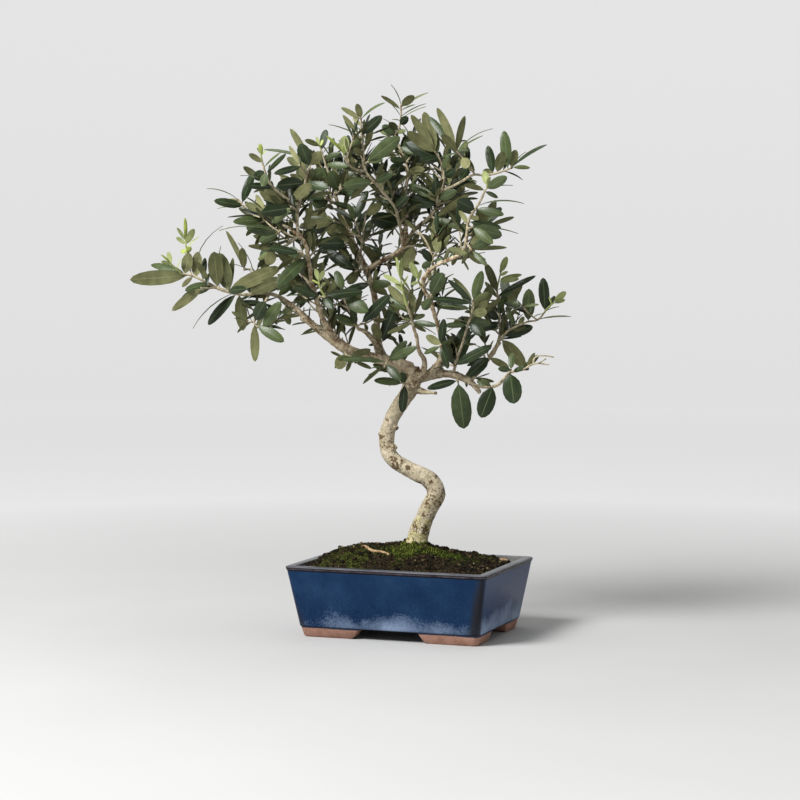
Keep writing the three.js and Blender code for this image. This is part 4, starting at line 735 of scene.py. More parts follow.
# %% [markdown]
# ## Tubes along drawn lines
#
# A trunk, a root or a twig is a round line that tapers. A Bezier curve with a round bevel gives that: each
# point has its own radius, and automatic handles round the bends between the drawn points.


# %% Tubes
def tube(name, chains, roundness, steps, finish):
    """Round lines through drawn points (across, up, back, radius), as one mesh."""
    curve = bpy.data.curves.new(name, "CURVE")
    curve.dimensions = "3D"
    curve.bevel_depth = MM
    curve.bevel_resolution = roundness
    curve.resolution_u = steps
    curve.use_fill_caps = True
    for chain in chains:
        spline = curve.splines.new("BEZIER")
        spline.bezier_points.add(len(chain) - 1)
        for point, (across, up, back, radius) in zip(spline.bezier_points, chain):
            point.co = sight(across, up, back)
            point.radius = radius
            point.handle_left_type = point.handle_right_type = "AUTO"
    made = bpy.data.objects.new(name, curve)
    bpy.context.scene.collection.objects.link(made)
    only(made)
    bpy.ops.object.convert(target="MESH")
    made = bpy.context.object
    made.data.materials.clear()
    made.data.materials.append(finish)
    return made


print("tubes are ready")

# %% [markdown]
# A surface root shows on the mound, a dry pale brown. Beside it lie a splinter and a pale chip of wood.

# %% Surface root, splinter and chip
root_bark, tree, shader, spot = material("dry_root_bark", Roughness=0.8)
streak = add(tree, "TexNoise", {"Vector": spot, "Scale": 260, "Detail": 4, "Roughness": 0.7})
shade = add(tree, "ValToRGB", [streak], stops=[(0.3, "#5f472f"), (0.7, "#bd9f76")])
bump = add(tree, "Bump", {"Strength": 0.6, "Distance": 0.0005, "Height": streak})
link(shader, Base_Color=shade, Normal=bump)
ROOT = [(-49, 85.5, 1.2), (-46, 85, 1.7), (-42, 82.5, 1.6), (-37, 80.5, 1.7), (-31, 80, 1.4),
        (-25, 78.5, 1.2), (-22, 77, 0.8)]
# Each point lies as far back as the soil that shows there, and a little nearer, so that it lies on top.
lying = [(mound_seen(across, up) - EYE).dot(BACKWARD) for across, up, radius in ROOT]
root_line = [(across, up, (reach - DISTANCE * MM) / MM / DEPTH - 0.6, radius)
             for (across, up, radius), reach in zip(ROOT, lying)]
root = tube("root_on_the_soil", [root_line], 3, 6, root_bark)
bpy.ops.object.shade_smooth_by_angle(angle=math.radians(50))
finished(root, "root", "surface_root")

chip = start("chip_of_wood", bpy.ops.mesh.primitive_cube_add, (8, 4.5, 1.8), size=1)
modify(chip, "BEVEL", width=0.6 * MM, segments=2)
pick(chip, "VERT", lambda p, n: p.x > 1 and p.y > 0)
bpy.ops.transform.translate(value=(-2 * MM, -0.8 * MM, 0.4 * MM))
splinter = start("splinter", bpy.ops.mesh.primitive_cone_add, (1, 1, 1), vertices=6, radius1=0.55,
                 radius2=0.2, depth=9)
for piece, place, turn in ((chip, (93, 70.5), (0.25, 0.1, 0.9)), (splinter, (56, 75.5), (0.5, -0.62, 0.3))):
    piece.data.transform(Matrix.Translation(mound_seen(*place) + Vector((0, 0, 1.4 * MM)))
                         @ Matrix.Rotation(turn[2], 4, "Z") @ Matrix.Rotation(turn[1], 4, "Y")
                         @ Matrix.Rotation(turn[0], 4, "X"))
    piece.data.materials.append(root_bark)
finished(joined("chip_and_splinter", [chip, splinter]), "root")

# %% [markdown]
# ## The trunk and its boughs
#
# The trunk rises in an S and parts into boughs at a swollen knuckle. It has to look grown, so the tubes of
# the trunk and the boughs are melted into one skin: a voxel remesh joins them, a smoothing softens the
# forks, and displacement by soft noise gives the bumps of old bark. Drawn points are (across, up, back,
# radius).

# %% Boughs
BOUGHS = {
    "trunk": [
        (6, 55, 0, 9), (6, 86, 0, 12.5), (7, 95, 0, 10.6), (13, 112, -2, 9.2), (20, 127, -4, 9.2),
        (25, 139, -5, 9.4), (19, 151, -5, 8.9), (8, 157.5, -4, 8.2), (-5, 164, -2, 7.9),
        (-17, 171.5, 0, 7.8), (-23.5, 183, 2, 7.7), (-24, 196, 3, 7.8), (-21, 208, 3, 7.6),
        (-15, 221, 2, 7.5), (-7, 233, 1, 7.9), (-1, 243, 0, 8.6), (2, 254, 0, 9.4), (1, 265, 0, 7.5)],
    "knob_low": [(-18, 184, -2, 4), (-14.5, 184, -4, 1.6)],
    "knob_left": [(-26, 197, 3, 5), (-32.5, 199, 2, 2)],
    "knob_right": [(-18, 205, 1, 4.5), (-13, 203, -1, 2.2)],
    "stub_front": [(0, 246, -4, 5.5), (3, 247, -10, 3.6)],
    "stub_low": [(2, 243, -3, 5), (13, 240, -8, 2.8), (26, 238.5, -12, 1.5)],
    "left": [
        (0, 262, 0, 7.5), (-14, 268, -2, 6.4), (-32, 273, -4, 5.4), (-50, 277, -6, 5), (-63, 282, -8, 5.6),
        (-75, 290, -9, 5.8), (-88, 299, -10, 4.4), (-101, 309, -12, 3.4), (-116, 324, -15, 2.6),
        (-124, 330, -16, 2.4)],
    "left_stub": [(-92, 303, -11, 3), (-111, 313, -15, 1.4)],
    "leader": [
        (-4, 255, 2, 7), (-16, 264, 4, 6.2), (-27, 273, 6, 5.4), (-34, 290, 9, 4.4), (-34, 314, 13, 3.6),
        (-38, 342, 17, 3.1), (-45, 362, 20, 3.2), (-55, 384, 24, 2.6), (-65, 406, 28, 2.6),
        (-72, 424, 31, 2.5)],
    "side": [(-30, 281, 7, 3.6), (-38, 292, -4, 3.1), (-46, 300, -14, 2.4), (-53, 303, -20, 1.9)],
    "inner": [
        (-73, 289, -9, 4), (-84, 305, -18, 3.3), (-91, 320, -26, 2.9), (-95, 334, -32, 2.7),
        (-99, 347, -36, 2.3), (-101, 362, -40, 2.1), (-103, 376, -43, 2.2), (-106, 388, -46, 2),
        (-113, 399, -48, 1.9)],
    "inner_fork": [(-110, 394, -47, 1.9), (-122, 404, -41, 1.5)],
    "middle": [
        (-45, 361, 20, 2.7), (-33, 369, 14, 2.4), (-20, 376, 8, 2.2), (-10, 382, 4, 2.2), (-5, 392, 2, 2.3),
        (-5, 401, 3, 2.1)],
    "middle_left": [(-8, 386, 3, 1.9), (-10, 402, -9, 1.6)],
    "middle_right": [(-6, 390, 2, 2.1), (3, 401, -3, 2)],
    "right_leader": [
        (18, 257, -3, 4.6), (27, 268, -10, 3.4), (31, 281, -16, 2.6), (29, 296, -20, 2.2),
        (25, 312, -24, 2.1), (19, 331, -28, 2.2), (12, 347, -32, 2.4), (17, 359, -36, 2.3),
        (25, 366, -40, 2.1), (38, 372, -44, 2.1), (48, 377, -47, 2.3), (54, 384, -50, 2)],
    "dark": [
        (7, 255, -2, 4.6), (11.5, 259, -6, 3.4), (13.5, 270, -10, 2.8), (8, 281, -18, 2.2),
        (6, 293, -22, 1.9), (2.5, 305, -26, 1.9)],
    "right": [
        (6, 254, 0, 6.4), (22, 257, -2, 4.8), (36, 258, -4, 4.1), (49, 255, -6, 3.8), (60, 249, -8, 3.3),
        (66, 243, -9, 2.6), (69, 238.5, -9, 2)],
    "right_up": [
        (58, 251, -8, 3), (66, 258, 2, 2.4), (74, 268, 12, 2.3), (82, 279, 20, 2.5), (87, 288, 24, 2.3)],
}
print(len(BOUGHS), "boughs")

# %% [markdown]
# Olive bark on a young trunk is smooth and pale, a greyish beige, with brown specks in clusters, dark scars
# where twigs were cut, and yellow-green lichen near the soil. The boughs are browner. Scars are listed by
# the place where they show, and the skin's corners keep a number for them.

# %% Bark
bark, tree, shader, spot = material("young_olive_bark", Roughness=0.85, Specular_IOR_Level=0.2)
xyz = add(tree, "SeparateXYZ", [spot], out=None)
broad = add(tree, "TexNoise", {"Vector": spot, "Scale": 55, "Detail": 4, "Roughness": 0.6})
fine = add(tree, "TexNoise", {"Vector": spot, "Scale": 420, "Detail": 4, "Roughness": 0.7})
pale = add(tree, "ValToRGB", [broad], stops=[(0.32, "#958a70"), (0.66, "#c7bca4")])
patch = add(tree, "TexNoise", {"Vector": spot, "Scale": 190, "Detail": 4, "Roughness": 0.7})
brown = add(tree, "ValToRGB", [patch], stops=[(0.36, "#6b4b31"), (0.62, "#c6b99d"), (0.48, "#9c8c70")])
high = add(tree, "Math", [broad, 0.09, xyz["Z"]], operation="MULTIPLY_ADD")
high = add(tree, "MapRange", [high, 0.23, 0.36])
shade = add(tree, "MixRGB", [high, pale, brown])
# Lichen: thickest at the soil and gone 60 mm above it, in patches 4 mm across.
low = add(tree, "MapRange", [xyz["Z"], 0.088, 0.15, 0.32, -0.1])
lichen = add(tree, "Math", [patch, low], operation="ADD")
lichen = add(tree, "MapRange", [lichen, 0.62, 0.74, 0.0, 0.6])
shade = add(tree, "MixRGB", [lichen, shade, "#a5a063"])
# Specks of 1 to 2 mm, in clusters about 25 mm wide, and most at the foot.
cells = add(tree, "TexVoronoi", {"Vector": spot, "Scale": 330})
cluster = add(tree, "TexNoise", {"Vector": spot, "Scale": 42, "Detail": 2})
near = add(tree, "MapRange", [cluster, 0.4, 0.64, 0.14, 0.46])
foot_specks = add(tree, "MapRange", [xyz["Z"], 0.09, 0.15, 0.14, 0.0])
near = add(tree, "Math", [near, foot_specks], operation="ADD")
ring = add(tree, "Math", [near, cells], operation="SUBTRACT")
speck = add(tree, "MapRange", [ring, 0.0, 0.14, 0.0, 0.75])
shade = add(tree, "MixRGB", [speck, shade, "#553f20"])
scar = add(tree, "Attribute", attribute_name="scar", out="Fac")
torn = add(tree, "TexNoise", {"Vector": spot, "Scale": 380, "Detail": 4, "Roughness": 0.65})
scar = add(tree, "Math", [torn, 4.0, scar], operation="MULTIPLY_ADD")
scar = add(tree, "MapRange", [scar, 2.45, 2.8, 0.0, 0.9])
shade = add(tree, "MixRGB", [scar, shade, "#4b3517"])
flecks = add(tree, "ValToRGB", [fine], stops=[(0.36, "#828282"), (0.6, "#ffffff")])
shade = add(tree, "MixRGB", [0.6, shade, flecks], blend_type="MULTIPLY")
bump = add(tree, "Bump", {"Strength": 0.7, "Distance": 0.0006, "Height": fine})
link(shader, Base_Color=shade, Normal=bump)
print(bark.name, len(tree.nodes), "nodes")

# %% [markdown]
# The remesh has cells of 0.8 mm, fine enough for the thinnest stub. Two noises give it large and small bumps.

# %% Trunk: one skin
parts = [tube("bough_" + name, [line], 6, 8, bark) for name, line in BOUGHS.items()]
trunk = joined("trunk_and_boughs", parts)
modify(trunk, "REMESH", mode="VOXEL", voxel_size=0.8 * MM)
modify(trunk, "SMOOTH", factor=0.6, iterations=7)
for noise_size, strength in ((11, 1.3), (3.6, 0.7)):
    swell = bpy.data.textures.new("swelling", "CLOUDS")
    swell.noise_scale = noise_size * MM
    modify(trunk, "DISPLACE", texture=swell, strength=strength * MM, mid_level=0.5)
print("trunk", len(trunk.data.vertices), "corners")

# %% [markdown]
# Each scar is an (across, up, radius) on the drawing. A corner of the skin takes it if it faces the eye and
# lies inside the radius.

# %% Trunk: scars where they show
SCARS = [(-18, 172, 5), (-15, 166, 5), (-9, 170, 3), (-3, 164, 3.4), (-14, 203, 2.4), (-17, 186, 3),
         (-30, 195, 4), (12, 143, 6), (7, 148, 4), (16, 128, 2.2), (30, 127, 2.6), (33, 141, 3),
         (13, 116, 2.4), (4, 104, 5), (14, 101, 6), (24, 112, 4), (-24, 212, 2.4), (-30, 228, 3),
         (3, 249, 4), (26, 239, 3), (12, 243, 4), (-5, 256, 4), (8, 262, 5), (20, 150, 3), (26, 155, 2.4)]
corners = corners_of(trunk)
from_eye = corners - np.array(EYE)
normals = np.array([v.normal for v in trunk.data.vertices])
facing = (normals * from_eye).sum(1) < 0
away = from_eye @ np.array(BACKWARD)
across = ACROSS + from_eye @ np.array(RIGHTWARD) / away * DISTANCE
up = UP + from_eye[:, 2] / away * DISTANCE
scars = np.zeros(len(corners))
for a, u, radius in SCARS:
    gap = np.hypot(across - a, up - u)
    scars = np.maximum(scars, facing * np.clip(1.3 - gap / radius, 0, 1))
trunk.data.attributes.new("scar", "FLOAT", "POINT").data.foreach_set("value", scars)
only(trunk)
bpy.ops.object.shade_smooth()
finished(trunk, "bark", "trunk")

# %% [markdown]
# ## Finishes of leaf and twig
#
# An olive leaf is leathery. Its upper face is a deep green under a thin wax, with a pale midrib. Its
# underside is dull and pale, from a felt of tiny scales. Young leaves are thin and lime green. Each leaf
# has its own tone, from deep green to olive. The unwrapping of the blade runs from root to tip along u, and
# across it along v, so the midrib is where v is one half.


# %% Leaf finishes
def leaf_finish(name, shades, rib, rib_share, rough, gloss):
    """One face of a leaf: its tones from dark to light, its midrib, and how rough and glossy it is."""
    made, tree, shader, spot = material(name, Roughness=rough, Specular_IOR_Level=gloss)
    tone = add(tree, "Attribute", attribute_name="tone", out="Fac")
    flat = add(tree, "SeparateXYZ", [add(tree, "TexCoord", out="UV")], out=None)
    cloud = add(tree, "TexNoise", {"Vector": spot, "Scale": 130, "Detail": 3})
    pores = add(tree, "TexNoise", {"Vector": spot, "Scale": 1500, "Detail": 2})
    stops = [(0.0, shades[0]), (1.0, shades[-1])]
    stops += [(i / (len(shades) - 1), shade) for i, shade in enumerate(shades[1:-1], 1)]
    shade = add(tree, "ValToRGB", [tone], stops=stops)
    cloud = add(tree, "ValToRGB", [cloud], stops=[(0.3, "#c4c4c4"), (0.65, "#ffffff")])
    shade = add(tree, "MixRGB", [0.8, shade, cloud], blend_type="MULTIPLY")
    off = add(tree, "Math", [flat["Y"], 0.5], operation="SUBTRACT")
    off = add(tree, "Math", [off], operation="ABSOLUTE")
    midrib = add(tree, "MapRange", [off, 0.04, 0.008, 0.0, rib_share])
    shade = add(tree, "MixRGB", [midrib, shade, rib])
    # Side veins slant forward from the midrib, about 3 mm apart, and are only just felt.
    slant = add(tree, "Math", [off, -0.7, flat["X"]], operation="MULTIPLY_ADD")
    slant = add(tree, "Math", [slant, 75.0], operation="MULTIPLY")
    veins = add(tree, "Math", [slant], operation="SINE")
    relief = add(tree, "Math", [veins, 0.12, pores], operation="MULTIPLY_ADD")
    relief = add(tree, "Math", [midrib, -0.8, relief], operation="MULTIPLY_ADD")
    bump = add(tree, "Bump", {"Strength": 0.35, "Distance": 0.0003, "Height": relief})
    link(shader, Base_Color=shade, Normal=bump)
    return made


upper = leaf_finish("waxy_upper_leaf", ["#141c0d", "#2b3722", "#505b38", "#808559"], "#7f8a66",
                    0.3, 0.29, 0.2)
under = leaf_finish("felted_leaf_underside", ["#4a4e34", "#6f704d", "#99966f"], "#918f6c", 0.35, 0.75, 0.06)
# The young leaves' light tones are partly their own lime colour and partly painted light, standing in for
# light that shines through the thin blade.
lime = leaf_finish("young_upper_leaf", ["#667129", "#8d9a42", "#c2c983"], "#c6cc92", 0.4, 0.5, 0.3)
lime_under = leaf_finish("young_leaf_underside", ["#7a8450", "#a5ad78"], "#bfc690", 0.4, 0.7, 0.2)


def twig_finish(name, dark, light):
    """The skin of a twig, a stem or a bud, clouded from dark to light."""
    made, tree, shader, spot = material(name, Roughness=0.8, Specular_IOR_Level=0.1)
    ring = add(tree, "TexNoise", {"Vector": spot, "Scale": 230, "Detail": 4, "Roughness": 0.7})
    shade = add(tree, "ValToRGB", [ring], stops=[(0.3, dark), (0.68, light)])
    bump = add(tree, "Bump", {"Strength": 0.5, "Distance": 0.0003, "Height": ring})
    link(shader, Base_Color=shade, Normal=bump)
    return made


twig_bark = twig_finish("olive_twig_bark", "#534a39", "#b0a68b")
green_stem = twig_finish("green_young_stem", "#6f7846", "#9ba368")
bud_scale = twig_finish("brown_bud_scales", "#4f3a29", "#80654b")
print("leaf and twig finishes are ready")

# %% [markdown]
# ## One leaf
#
# The blade is a grid of eight cells by four, a metre long and a metre wide, so that a corner's place reads as
# shares of a leaf. Its columns are drawn in to the outline of an olive leaf: a short stalk, full in the
# middle, a short point. A copy, turned over, is the underside. The two are lifted a unit apart and closed
# along the edge, so the blade is a thin lens.

# %% One leaf
COLUMNS = [(0, 0.05), (0.06, 0.08), (0.16, 0.5), (0.3, 0.86), (0.48, 1), (0.66, 0.98), (0.82, 0.8),
           (0.945, 0.46), (1, 0.03)]


def half_width(x):
    """Half the blade's width at a place along it, both in thousandths of the blade."""
    return 500 * np.interp(x / 1000, *zip(*COLUMNS))


def blade(name, upper_finish, under_finish):
    """The template of a leaf."""
    leaf = start(name, bpy.ops.mesh.primitive_grid_add, (1000, 1000, 1000), (500, 0, 0), x_subdivisions=8,
                 y_subdivisions=4, size=1)
    leaf.data.materials.append(upper_finish)
    leaf.data.materials.append(under_finish)
    for i, (along, wide) in enumerate(COLUMNS):
        pick(leaf, "VERT", lambda p, n: abs(p.x - 125 * i) < 1)
        bpy.ops.transform.resize(value=(1, wide, 1), center_override=(0, 0, 0))
        bpy.ops.transform.translate(value=(along - i / 8, 0, 0))
    pick(leaf, "FACE", lambda p, n: True)
    bpy.ops.mesh.duplicate()
    bpy.ops.mesh.flip_normals()
    leaf.active_material_index = 1
    bpy.ops.object.material_slot_assign()
    bpy.ops.transform.translate(value=(0, 0, -0.5))
    pick(leaf, "FACE", lambda p, n: p.z > -1)
    bpy.ops.transform.translate(value=(0, 0, 0.5))
    pick(leaf, "VERT", lambda p, n: p.x < 1 or abs(p.y) > 0.98 * half_width(p.x))
    bpy.ops.transform.resize(value=(1, 1, 0), center_override=(0, 0, 0))
    bpy.ops.mesh.select_all(action="SELECT")
    bpy.ops.mesh.remove_doubles(threshold=0.002)
    bpy.ops.object.mode_set(mode="OBJECT")
    return leaf


grown_leaf = blade("leaf_blade", upper, under)
young_leaf = blade("young_blade", lime, lime_under)
bud = start("leaf_joint", bpy.ops.mesh.primitive_ico_sphere_add, (1000, 1000, 1000), subdivisions=1,
            radius=0.5)
bud.data.materials.append(bud_scale)
print("a blade has", len(grown_leaf.data.vertices), "corners and", len(grown_leaf.data.polygons), "faces")

# %% [markdown]
# A leaf in place has a root on its stem, a tip, the direction its upper face looks in, a width and an arch.
# The blade's corners are bent to it: along the arch, a little hollow along the midrib, and down at the
# edges.


# %% Bending a blade
THICK, DROOP, HOLLOW = 0.55 * MM, 0.1, 0.05
BLADE = corners_of(grown_leaf)


def axes_of(root, tip, face):
    """The length of a leaf, and its directions along, up and sideways."""
    reach = tip - root
    along = reach.normalized()
    up = (face - along * face.dot(along)).normalized()
    return reach.length, along, up, up.cross(along)


def bent(root, tip, face, width, arch):
    """The places of the blade's corners for one leaf."""
    length, along, up, side = axes_of(root, tip, face)
    share, across_it, layer = BLADE.T
    middle = arch * length * 4 * share * (1 - share)
    off = abs(2 * across_it)
    rise = middle + layer * THICK + width * (HOLLOW * off - DROOP * off ** 2)
    return (np.array(root) + np.outer(share * length, along) + np.outer(across_it * width, side)
            + np.outer(rise, up))


print("a leaf is bent at", len(BLADE), "corners")

# %% [markdown]
# A leaf is drawn as (root across, root up, tip across, tip up, width, turn, lean, arch). Its root moves to
# the nearest stem. Turn 0 shows the upper face to the front and 180 the underside, and lean is how much
# further back the tip lies. Some stems carry pairs of leaves by a rule, each pair a quarter turn on from the
# last.


# %% Leaves from the drawing
def nearest(stems, across, up):
    """The point on the stems that shows nearest to a place of the drawing."""
    best = None
    for line in stems:
        for p, q in zip(line, line[1:]):
            da, du = q[0] - p[0], q[1] - p[1]
            t = min(1, max(0, ((across - p[0]) * da + (up - p[1]) * du) / (da * da + du * du or 1)))
            spot = [v + (w - v) * t for v, w in zip(p, q)]
            gap = math.hypot(spot[0] - across, spot[1] - up)
            if best is None or gap < best[0] - 1e-9:
                best = (gap, spot)
    return best[1]


def face_of(root, tip, turn):
    """The direction that the upper face looks in, turned from the eye."""
    along = (tip - root).normalized()
    to_eye = EYE - (root + tip) / 2
    facing = (to_eye - along * to_eye.dot(along)).normalized()
    side = along.cross(facing) * math.sin(math.radians(turn))
    front = facing * math.cos(math.radians(turn))
    return front + side if side.z >= 0 else front - side


def drawn_leaf(stems, row, back=0, turn=0):
    """A leaf from its row in the drawing."""
    a0, u0, a1, u1, width, own_turn, lean = row[:7]
    arch = row[7] if len(row) > 7 else 0.06
    spot = nearest(stems, a0, u0)
    root, tip = sight(*spot[:3]), sight(a1, u1, spot[2] + lean + back)
    return root, tip, face_of(root, tip, own_turn + turn), width * MM, arch


def pair_leaf(root, along, quarter, hand, length, back=0, turn=0):
    """One leaf of a pair on a stem (hand 1 or -1), or the leaf at its end (hand 0)."""
    level = (Vector((0, 0, 1)) - along * along.z).normalized()
    out = level * math.cos(quarter) + along.cross(level) * math.sin(quarter)
    heading = along * (0.62 if hand else 1) + out * hand * 0.78 + Vector((0, 0, 0.22))
    tip = root + heading.normalized() * length + BACKWARD * back * MM
    reach = (tip - root).normalized()
    upper_side = along + Vector((0, 0, 0.5))
    upper_side = (upper_side - reach * upper_side.dot(reach)).normalized()
    angle = math.radians(turn)
    face = upper_side * math.cos(angle) + reach.cross(upper_side) * math.sin(angle)
    return root, tip, face, length * 0.27, 0.06


def spread_leaf(line, pairs, k, hand, back=0, turn=0):
    """A leaf of pair k on a stem that carries its leaves by the rule."""
    way = (len(line) - 1) * (k + 1.2) / (pairs + 1.2)
    i = min(len(line) - 2, math.floor(way))
    p, q = sight(*line[i][:3]), sight(*line[i + 1][:3])
    length = (31 + 9 * ((k * 0.618 + (hand + 1) * 0.27) % 1)) * MM
    quarter = k % 2 * math.pi / 2 + 0.4
    return pair_leaf(p.lerp(q, way - i), (q - p).normalized(), quarter, hand, length, back, turn)


print("leaves can be placed")

# %% [markdown]
# The plain solids stand clear of each other, so some of their leaves were leaned or turned from the drawn
# place, and the fine leaf belongs where the plain one is. So each place that a leaf may take is tried, and
# the one whose corners are found on the plain solid is kept.

# %% Finding the plain leaf
SHIFTS = [(back, turn) for back in (0, 7, -7, 14, -14, 22, -22, 30, -30) for turn in (0, 24, -24)]
TOUCHING = 0.06 * MM


def plain_corners(root, tip, face, width, arch):
    """Where a plain leaf in this place has its tip and its corners. A narrow one has fewer."""
    length, along, up, side = axes_of(root, tip, face)
    found = [tip]
    for share, wide in ([(0.45, 1)] if width < 5.5 * MM else [(0.36, 1), (0.72, 0.84)]):
        middle = root.lerp(tip, share) + up * (arch * length * 4 * share * (1 - share))
        found += [middle + side * (w * wide * width / 2) + up * (0.4 * h * MM)
                  for w in (1, -1) for h in (1, -1)]
    return found


def on_solid(corners, make):
    """The leaf in the place where the plain solid has it, or None if the solid has no such leaf."""
    best = (0, None)
    for back, turn in SHIFTS:
        leaf = make(back, turn)
        if corners.find(leaf[1])[2] > TOUCHING:
            continue
        score = sum(corners.find(corner)[2] < TOUCHING for corner in plain_corners(*leaf))
        if score > best[0]:
            best = (score, leaf)
    return best[1]


print("each leaf has", len(SHIFTS), "places to try")

# %% [markdown]
# ## A leafy stem
#
# Each spray is one piece: its twigs, the swollen joints where leaves sit, and its leaves. It stands for its
# plain solid. Where the crown is dense, short side twigs with two pairs and an end leaf fill it, off the
# drawn stems.


# %% Side twigs
counted = {"drawn": 0, "pairs": 0, "filled": 0, "side twigs": 0, "not on the solid": 0}
# Where the crown is dense, as discs on the drawing: across, up, radius.
DENSE = [(-32, 372, 34), (4, 442, 40), (-76, 335, 34), (-112, 402, 36), (9, 322, 28), (-36, 472, 28),
         (-148, 436, 14), (-156, 300, 26), (-66, 297, 30), (92, 284, 18), (0, 290, 28), (44, 380, 24),
         (-71, 445, 30), (30, 410, 24), (36, 258, 24), (68, 270, 20), (-97, 314, 14)]


def side_twigs(stems, gap, reaches=(10, 20)):
    """Short twigs off the stems, to either side and backwards, in the dense parts of the crown."""
    twigs = []
    for line in stems:
        for p, q in zip(line, line[1:]):
            reach = math.dist(p[:3], q[:3])
            for _ in range(int(reach / gap + random.random())):
                t = random.random()
                a, u, back = (v + (w - v) * t for v, w in zip(p[:3], q[:3]))
                if not any(math.hypot(a - da, u - du) < r for da, du, r in DENSE):
                    continue
                hand, far = random.choice((1, -1)), random.uniform(*reaches)
                lead = Vector((q[0] - p[0], q[1] - p[1])).normalized()
                out = lead * 0.5 + lead.orthogonal() * hand * random.uniform(0.2, 0.9) + Vector((0, 0.3))
                deep = random.uniform(0.1, 0.9)
                tip = (a + out.x * far, u + out.y * far, back + deep * far)
                middle = [(v + w) / 2 for v, w in zip((a, u, back), tip)]
                twigs.append([(a, u, back, 1), (middle[0], middle[1] - 1, middle[2], 0.85), (*tip, 0.6)])
    return twigs


def side_leaves(twigs):
    """Two pairs and an end leaf for each side twig."""
    leaves = []
    for twig in twigs:
        ahead = sight(*twig[2][:3]) - sight(*twig[0][:3])
        for k, hand in ((0, 1), (0, -1), (1, 1), (1, -1), (2, 0)):
            root = sight(*twig[min(2, k + 1)][:3]) - ahead * (0.15, 0.12, 0)[k]
            long = random.uniform(14, 26) * MM
            leaf = pair_leaf(root, ahead.normalized(), k * math.pi / 2 + 0.5, hand, long)
            leaves.append(leaf[:3] + (long * random.uniform(0.2, 0.29), random.uniform(0, 0.12)))
    counted["side twigs"] += len(twigs)
    return leaves


print(len(DENSE), "dense parts")

# %% [markdown]
# A spray's three sorts of parts are made apart, because each repeats one template, and are then joined.


# %% Twigs, blades and joints as one piece
def grown(name, stems, leaves, tones, young=False):
    """Twigs, joints and leaves as one piece."""
    pieces = [tube(name + "_twigs", stems, 1, 4, green_stem if young else twig_bark)]
    bpy.ops.object.shade_smooth_by_angle(angle=math.radians(50))
    pieces.append(repeated(name + "_blades", young_leaf if young else grown_leaf,
                           [bent(*leaf) for leaf in leaves], np.clip(tones, 0, 1)))
    if not young:
        joint = corners_of(bud) * [1.9 * MM, 1.9 * MM, 2.4 * MM]
        pieces.append(repeated(name + "_joints", bud, [joint + np.array(leaf[0]) for leaf in leaves],
                               [0] * len(leaves)))
    return joined(name, pieces)


print("a joint is", len(bud.data.polygons), "faces")

# %% [markdown]
# Between the drawn leaves further pairs fill the stem every 12 mm, as on a living tree. They head to the back
# or the sides, so the drawn ones stay in view.


# %% Filling pairs
def filling(stems, roots, gap, young):
    """Pairs of leaves where a stem has none within 5 mm."""
    leaves = []
    for line in stems:
        walked, quarter = 0, random.uniform(0, 3)
        for p, q in zip(line, line[1:]):
            a, b = sight(*p[:3]), sight(*q[:3])
            along = (b - a).normalized()
            while walked < (b - a).length / MM:
                root = a + along * walked * MM
                walked += gap
                quarter += math.pi / 2
                if walked < gap + 4 or any((root - other).length < 5 * MM for other in roots):
                    continue
                for hand in (1, -1):
                    length = random.uniform(19, 29) * (0.6 if young else 1) * MM
                    leaf = pair_leaf(root, along, quarter, hand, length)
                    toward = (leaf[1] - root).normalized().dot(BACKWARD)
                    if toward < 0.25:
                        back = (0.45 - toward) * length / MM
                        leaf = pair_leaf(root, along, quarter, hand, length, back)
                    leaves.append(leaf[:3] + (length * random.uniform(0.2, 0.29), random.uniform(0, 0.12)))
            walked -= (b - a).length / MM
    return leaves


print("pairs that fill a stem are ready")

# %% [markdown]
# A spray is written as its stems, which are lines of (across, up, back, radius), and its leaves. The large
# ones are looked for on the plain solid, the small ones have no plain leaf there. `spread` names the stems
# that carry pairs by the rule, and `gap` is the distance of the filling pairs.


# %% A spray
def drawn(name, stems, leaves, small=(), spread=(), young=False, gap=12):
    """Makes the piece for one leafy node."""
    node = "leafy_" + name
    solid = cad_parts[node].data
    corners = KDTree(len(solid.vertices))
    for i, corner in enumerate(solid.vertices):
        corners.insert(corner.co, i)
    corners.balance()
    placed, tones = [], []
    for row in leaves:
        leaf = on_solid(corners, lambda back, turn: drawn_leaf(stems, row, back, turn))
        counted["not on the solid"] += leaf is None
        placed.append(leaf or drawn_leaf(stems, row))
        tones.append(random.uniform(0.15, 0.6))
    for row in small:
        placed.append(drawn_leaf(stems, row))
        tones.append(random.uniform(0.4, 0.8))
    counted["drawn"] += len(placed)
    for stem, pairs in spread:
        for k, hand in [(k, hand) for k in range(pairs) for hand in (1, -1)] + [(pairs, 0)]:
            leaf = on_solid(corners, lambda back, turn: spread_leaf(stems[stem], pairs, k, hand, back, turn))
            counted["not on the solid"] += leaf is None
            if leaf:
                placed.append(leaf)
                tones.append(random.uniform(0.1, 0.5))
                counted["pairs"] += 1
    fill = filling(stems, [leaf[0] for leaf in placed], gap, young)
    twigs = [] if young else side_twigs(stems, 8)
    fill += side_leaves(twigs)
    counted["filled"] += len(fill)
    placed += fill
    # The filling leaves lie inside and behind the crown and take darker tones: painted shade there, on top of
    # each leaf's own tone.
    tones += [random.uniform(0, 0.6) ** 1.3 for _ in fill]
    spray = grown(name + "_spray", stems + twigs, placed, tones, young)
    return finished(spray, "young_leaf" if young else "leaf", node)


print("leafy nodes:", sum(name.startswith("leafy_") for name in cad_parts))

# %% [markdown]
# ## The sprays
#
# The left bough ends in a long twig with silvery leaves that show their undersides, and in two lime shoots.

